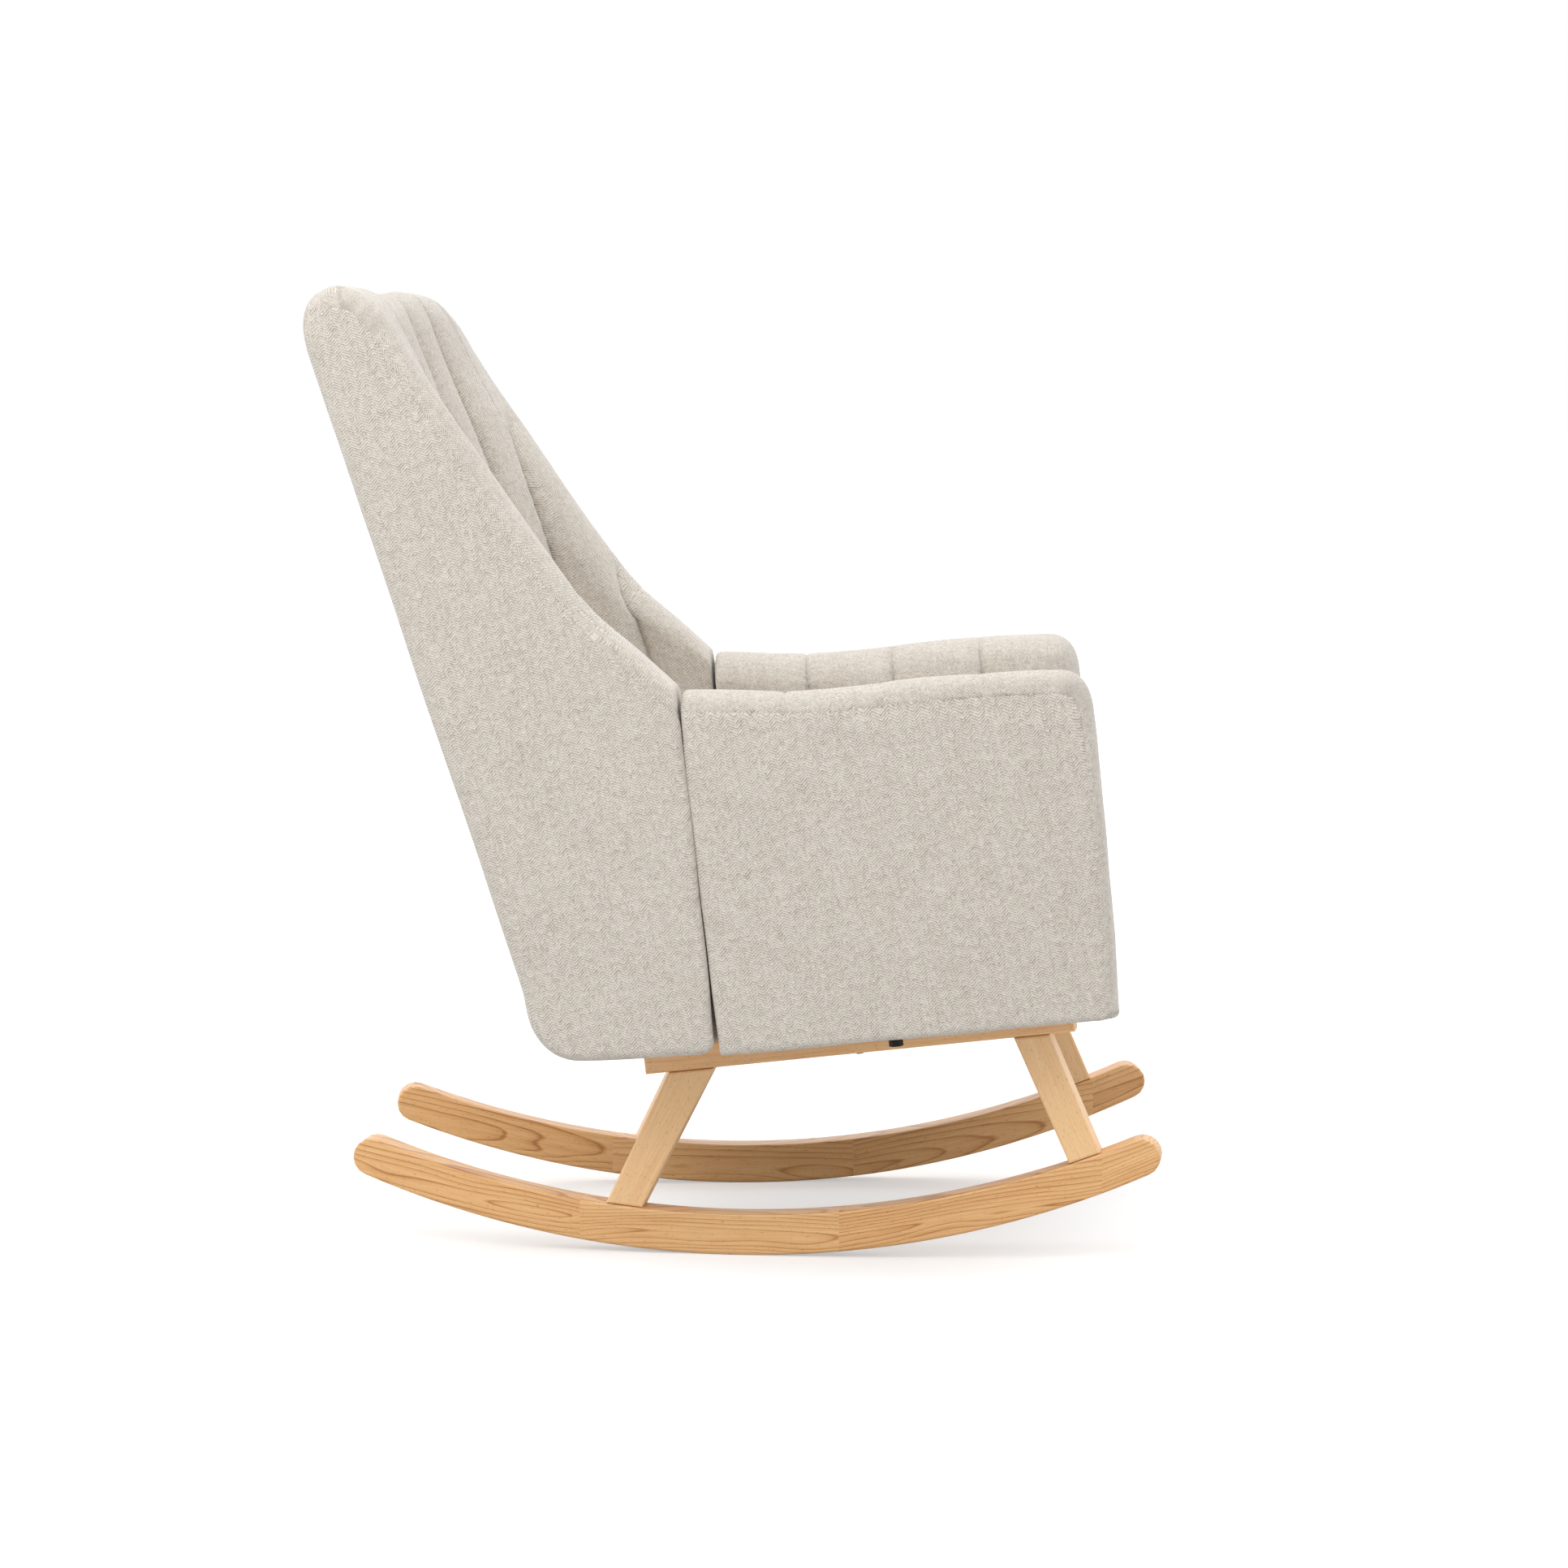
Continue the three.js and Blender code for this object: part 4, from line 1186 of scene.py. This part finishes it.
def seat_pad(name, node, x, y, z, edge, crown, seed):
    field = rounded_box(x, y, z, edge)
    low = [r[0] - 6.0 for r in (x, y, z)]
    high = [r[1] + 8.0 for r in (x, y, z)]
    middle_y = (y[0] + y[1]) / 2

    def detail(p, normal):
        inset = np.maximum(np.minimum(p[:, 2] - z[0], z[1] - p[:, 2]), 0)
        full = crown * (1 - np.exp(-inset / 14.0)) * (p[:, 1] < middle_y)
        gather = np.exp(-inset / GATHER_WIDTH) * waves(p[:, 0] / 18.0, seed) * 0.6
        return full + gather + billow(p, 90.0, seed + 1) * 0.6

    axes = [even(a, b, min(4.0, (b - a) / 7)) for a, b in zip(low, high)]
    soft_piece(name, field, SEAT_SPACE, axes, detail, box_weave(low, high), (node,))


seat_pad("seat_apron_cover", "seat_apron_pad", (-ARM_INNER + 2, ARM_INNER - 2),
         (SEAT_FRONT - 16, SEAT_FRONT - 3), (2.0, DECK_TOP - 1), 5.5, 3.0, 91)
seat_pad("seat_deck_cover", "seat_deck_pad", (-ARM_INNER + 3, ARM_INNER - 3),
         (SEAT_FRONT - 2, SEAT_REAR + 18), (BOX_HEIGHT + 3.2, DECK_TOP - 1), 6.0, 0.0, 95)


def dust_cover():
    """The lining stretched and stapled under the seat box: one layer, sagging a little."""
    low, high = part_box("dust_cover")
    half = (high.x - low.x) / 2 / MM - 0.5
    inset = 22.0  # of the lining's edges from the seat box's front and rear
    front, rear = SEAT_FRONT + inset, SEAT_REAR - inset
    columns, rows = 61, 55
    u, v = np.meshgrid(np.linspace(-1, 1, columns), np.linspace(-1, 1, rows), indexing="ij")
    sag = (1 - u ** 4) * (1 - v ** 4)
    pull = np.exp(-(1 - np.maximum(np.abs(u), np.abs(v))) * 14) * np.cos((u + v) * 60)
    height = 1.4 - 3.0 * sag + 0.5 * pull * sag
    along = (front + rear) / 2 + v * (rear - front) / 2
    p = np.stack([u * half, along, height], -1).reshape(-1, 3)
    index = np.arange(columns * rows).reshape(columns, rows)
    ring = (index[:-1, :-1], index[1:, :-1], index[1:, 1:], index[:-1, 1:])
    faces = np.stack([r.ravel() for r in ring], 1)
    obj = make_mesh("dust_cover_lining", SEAT_SPACE.real(p), faces, p[:, :2])
    look = coarse_cloth("lining", linear(30, 30, 31), linear(66, 65, 64), 0.0016)
    finish_piece(obj, look, "lining", "dust_cover")


dust_cover()


# ---------------------------------------------------------------- looks of the carried-over parts
def dress(look, *names):
    for name in names:
        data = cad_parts[name].data
        data.materials.clear()
        data.materials.append(look)


def soften(angle, *names):
    for name in names:
        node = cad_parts[name]
        for polygon in node.data.polygons:
            polygon.use_smooth = True
        node.data.set_sharp_from_angle(angle=math.radians(angle))


RAIL_LEAN = -math.atan(RAIL_SLOPE)
FRAME_LOOKS = (
    ("rocker", 1.3, {"arc": True}),
    ("side_rail", 2.9, {"lean": RAIL_LEAN, "shade": -0.16}),
    ("front_leg", 4.1, {"lean": math.radians(66.0)}),
    ("rear_leg", 5.7, {"lean": math.radians(-64.0)}),
)
for index, (side_name, sign) in enumerate(SIDES):
    for part, seed, grain in FRAME_LOOKS:
        node = part + "_" + side_name
        look_name = "wood_" + node.replace("side_", "")
        dress(wood(look_name, toe=-sign * TOE, seed=seed + index, **grain), node)
        soften(40, node)

CROSS = wood("wood_cross", seed=7.7)
PLY = plywood()
dress(CROSS, "cross_rail_front", "cross_rail_rear")


def nodes_with(*words):
    return [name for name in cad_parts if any(word in name for word in words)]


dress(PLY, "back_top_rail", "back_mid_rail", "back_bottom_rail")
dress(PLY, *nodes_with("board", "block", "dowel"))
WEBBING = coarse_cloth("webbing", linear(82, 74, 64), linear(140, 128, 112), 0.0030)
dress(WEBBING, *nodes_with("strap"))
ZINC = metal("zinc", linear(120, 122, 122), linear(184, 186, 184), 0.25, 0.95)
BLACK = metal("black_oxide", linear(18, 18, 19), linear(44, 43, 42), 0.35, 0.6)
dress(ZINC, *nodes_with("rail_bolt", "bracket"))
dress(BLACK, *nodes_with("arm_bolt"))


# ---------------------------------------------------------------- studio
def floor():
    n = Nodes("floor")
    speck = n.noise(n.place(), 9.0, 2.0, 0.5)
    color = n.ramp(speck, (0.3, (0.583, 0.59, 0.597)), (0.7, (0.603, 0.61, 0.617)))
    seen = n.new("LightPath").outputs["Is Camera Ray"]
    look = n.set(
        Base_Color=color, Roughness=0.8, Specular_IOR_Level=0.1,
        Emission_Color=(1.0, 1.0, 1.0, 1.0), Emission_Strength=n.math("MULTIPLY", seen, 0.45),
    )
    size = 60.0
    corners = [(-size, -size, 0), (size, -size, 0), (size, size, 0), (-size, size, 0)]
    mesh = bpy.data.meshes.new("floor")
    mesh.from_pydata(corners, [], [(0, 1, 2, 3)])
    mesh.materials.append(look)
    ground = bpy.data.objects.new("floor", mesh)
    SCENE.collection.objects.link(ground)


def sky():
    """A white studio: brighter overhead, and dimmer from the side of the camera."""
    n = Nodes("studio", "worlds", "Background")
    seen = n.new("LightPath").outputs["Is Camera Ray"]
    x, _, z = n.split(n.new("TexCoord").outputs["Generated"])

    def grade(value, span, low, high):
        node = n.new("MapRange", interpolation_type="SMOOTHSTEP")
        for socket, given in zip(node.inputs, (value, *span, low, high)):
            n.feed(socket, given)
        return node.outputs[0]

    side = (-0.2, 0.3)
    lighting = grade(z, (0.08, 0.6), grade(x, side, 0.5, 1.0), grade(x, side, 1.0, 1.8))
    SCENE.world = n.set(
        Color=(1.0, 1.0, 1.0, 1.0), Strength=grade(seen, (0.0, 1.0), lighting, 1.0)
    )
    SCENE.view_settings.view_transform = "Standard"


def light(name, kind, energy, direction, place=(0.0, 0.0, 0.0), **shape):
    """A lamp that shines from the given direction."""
    data = bpy.data.lights.new(name, kind)
    data.energy = energy
    for key, value in shape.items():
        setattr(data, key, value)
    lamp = bpy.data.objects.new(name, data)
    lamp.location = place
    lamp.rotation_euler = Vector(direction).to_track_quat("Z", "Y").to_euler()
    SCENE.collection.objects.link(lamp)


floor()
sky()
light("light_side", "SUN", 0.35, (-1.0, 0.25, 1.1), angle=math.radians(60.0))
SOFTBOX_AT, SOFTBOX_AIM = Vector((-1.8, 1.0, 2.0)), Vector((-0.35, 0.3, 0.8))
light("softbox", "AREA", 15.0, SOFTBOX_AT - SOFTBOX_AIM, SOFTBOX_AT, size=1.2)
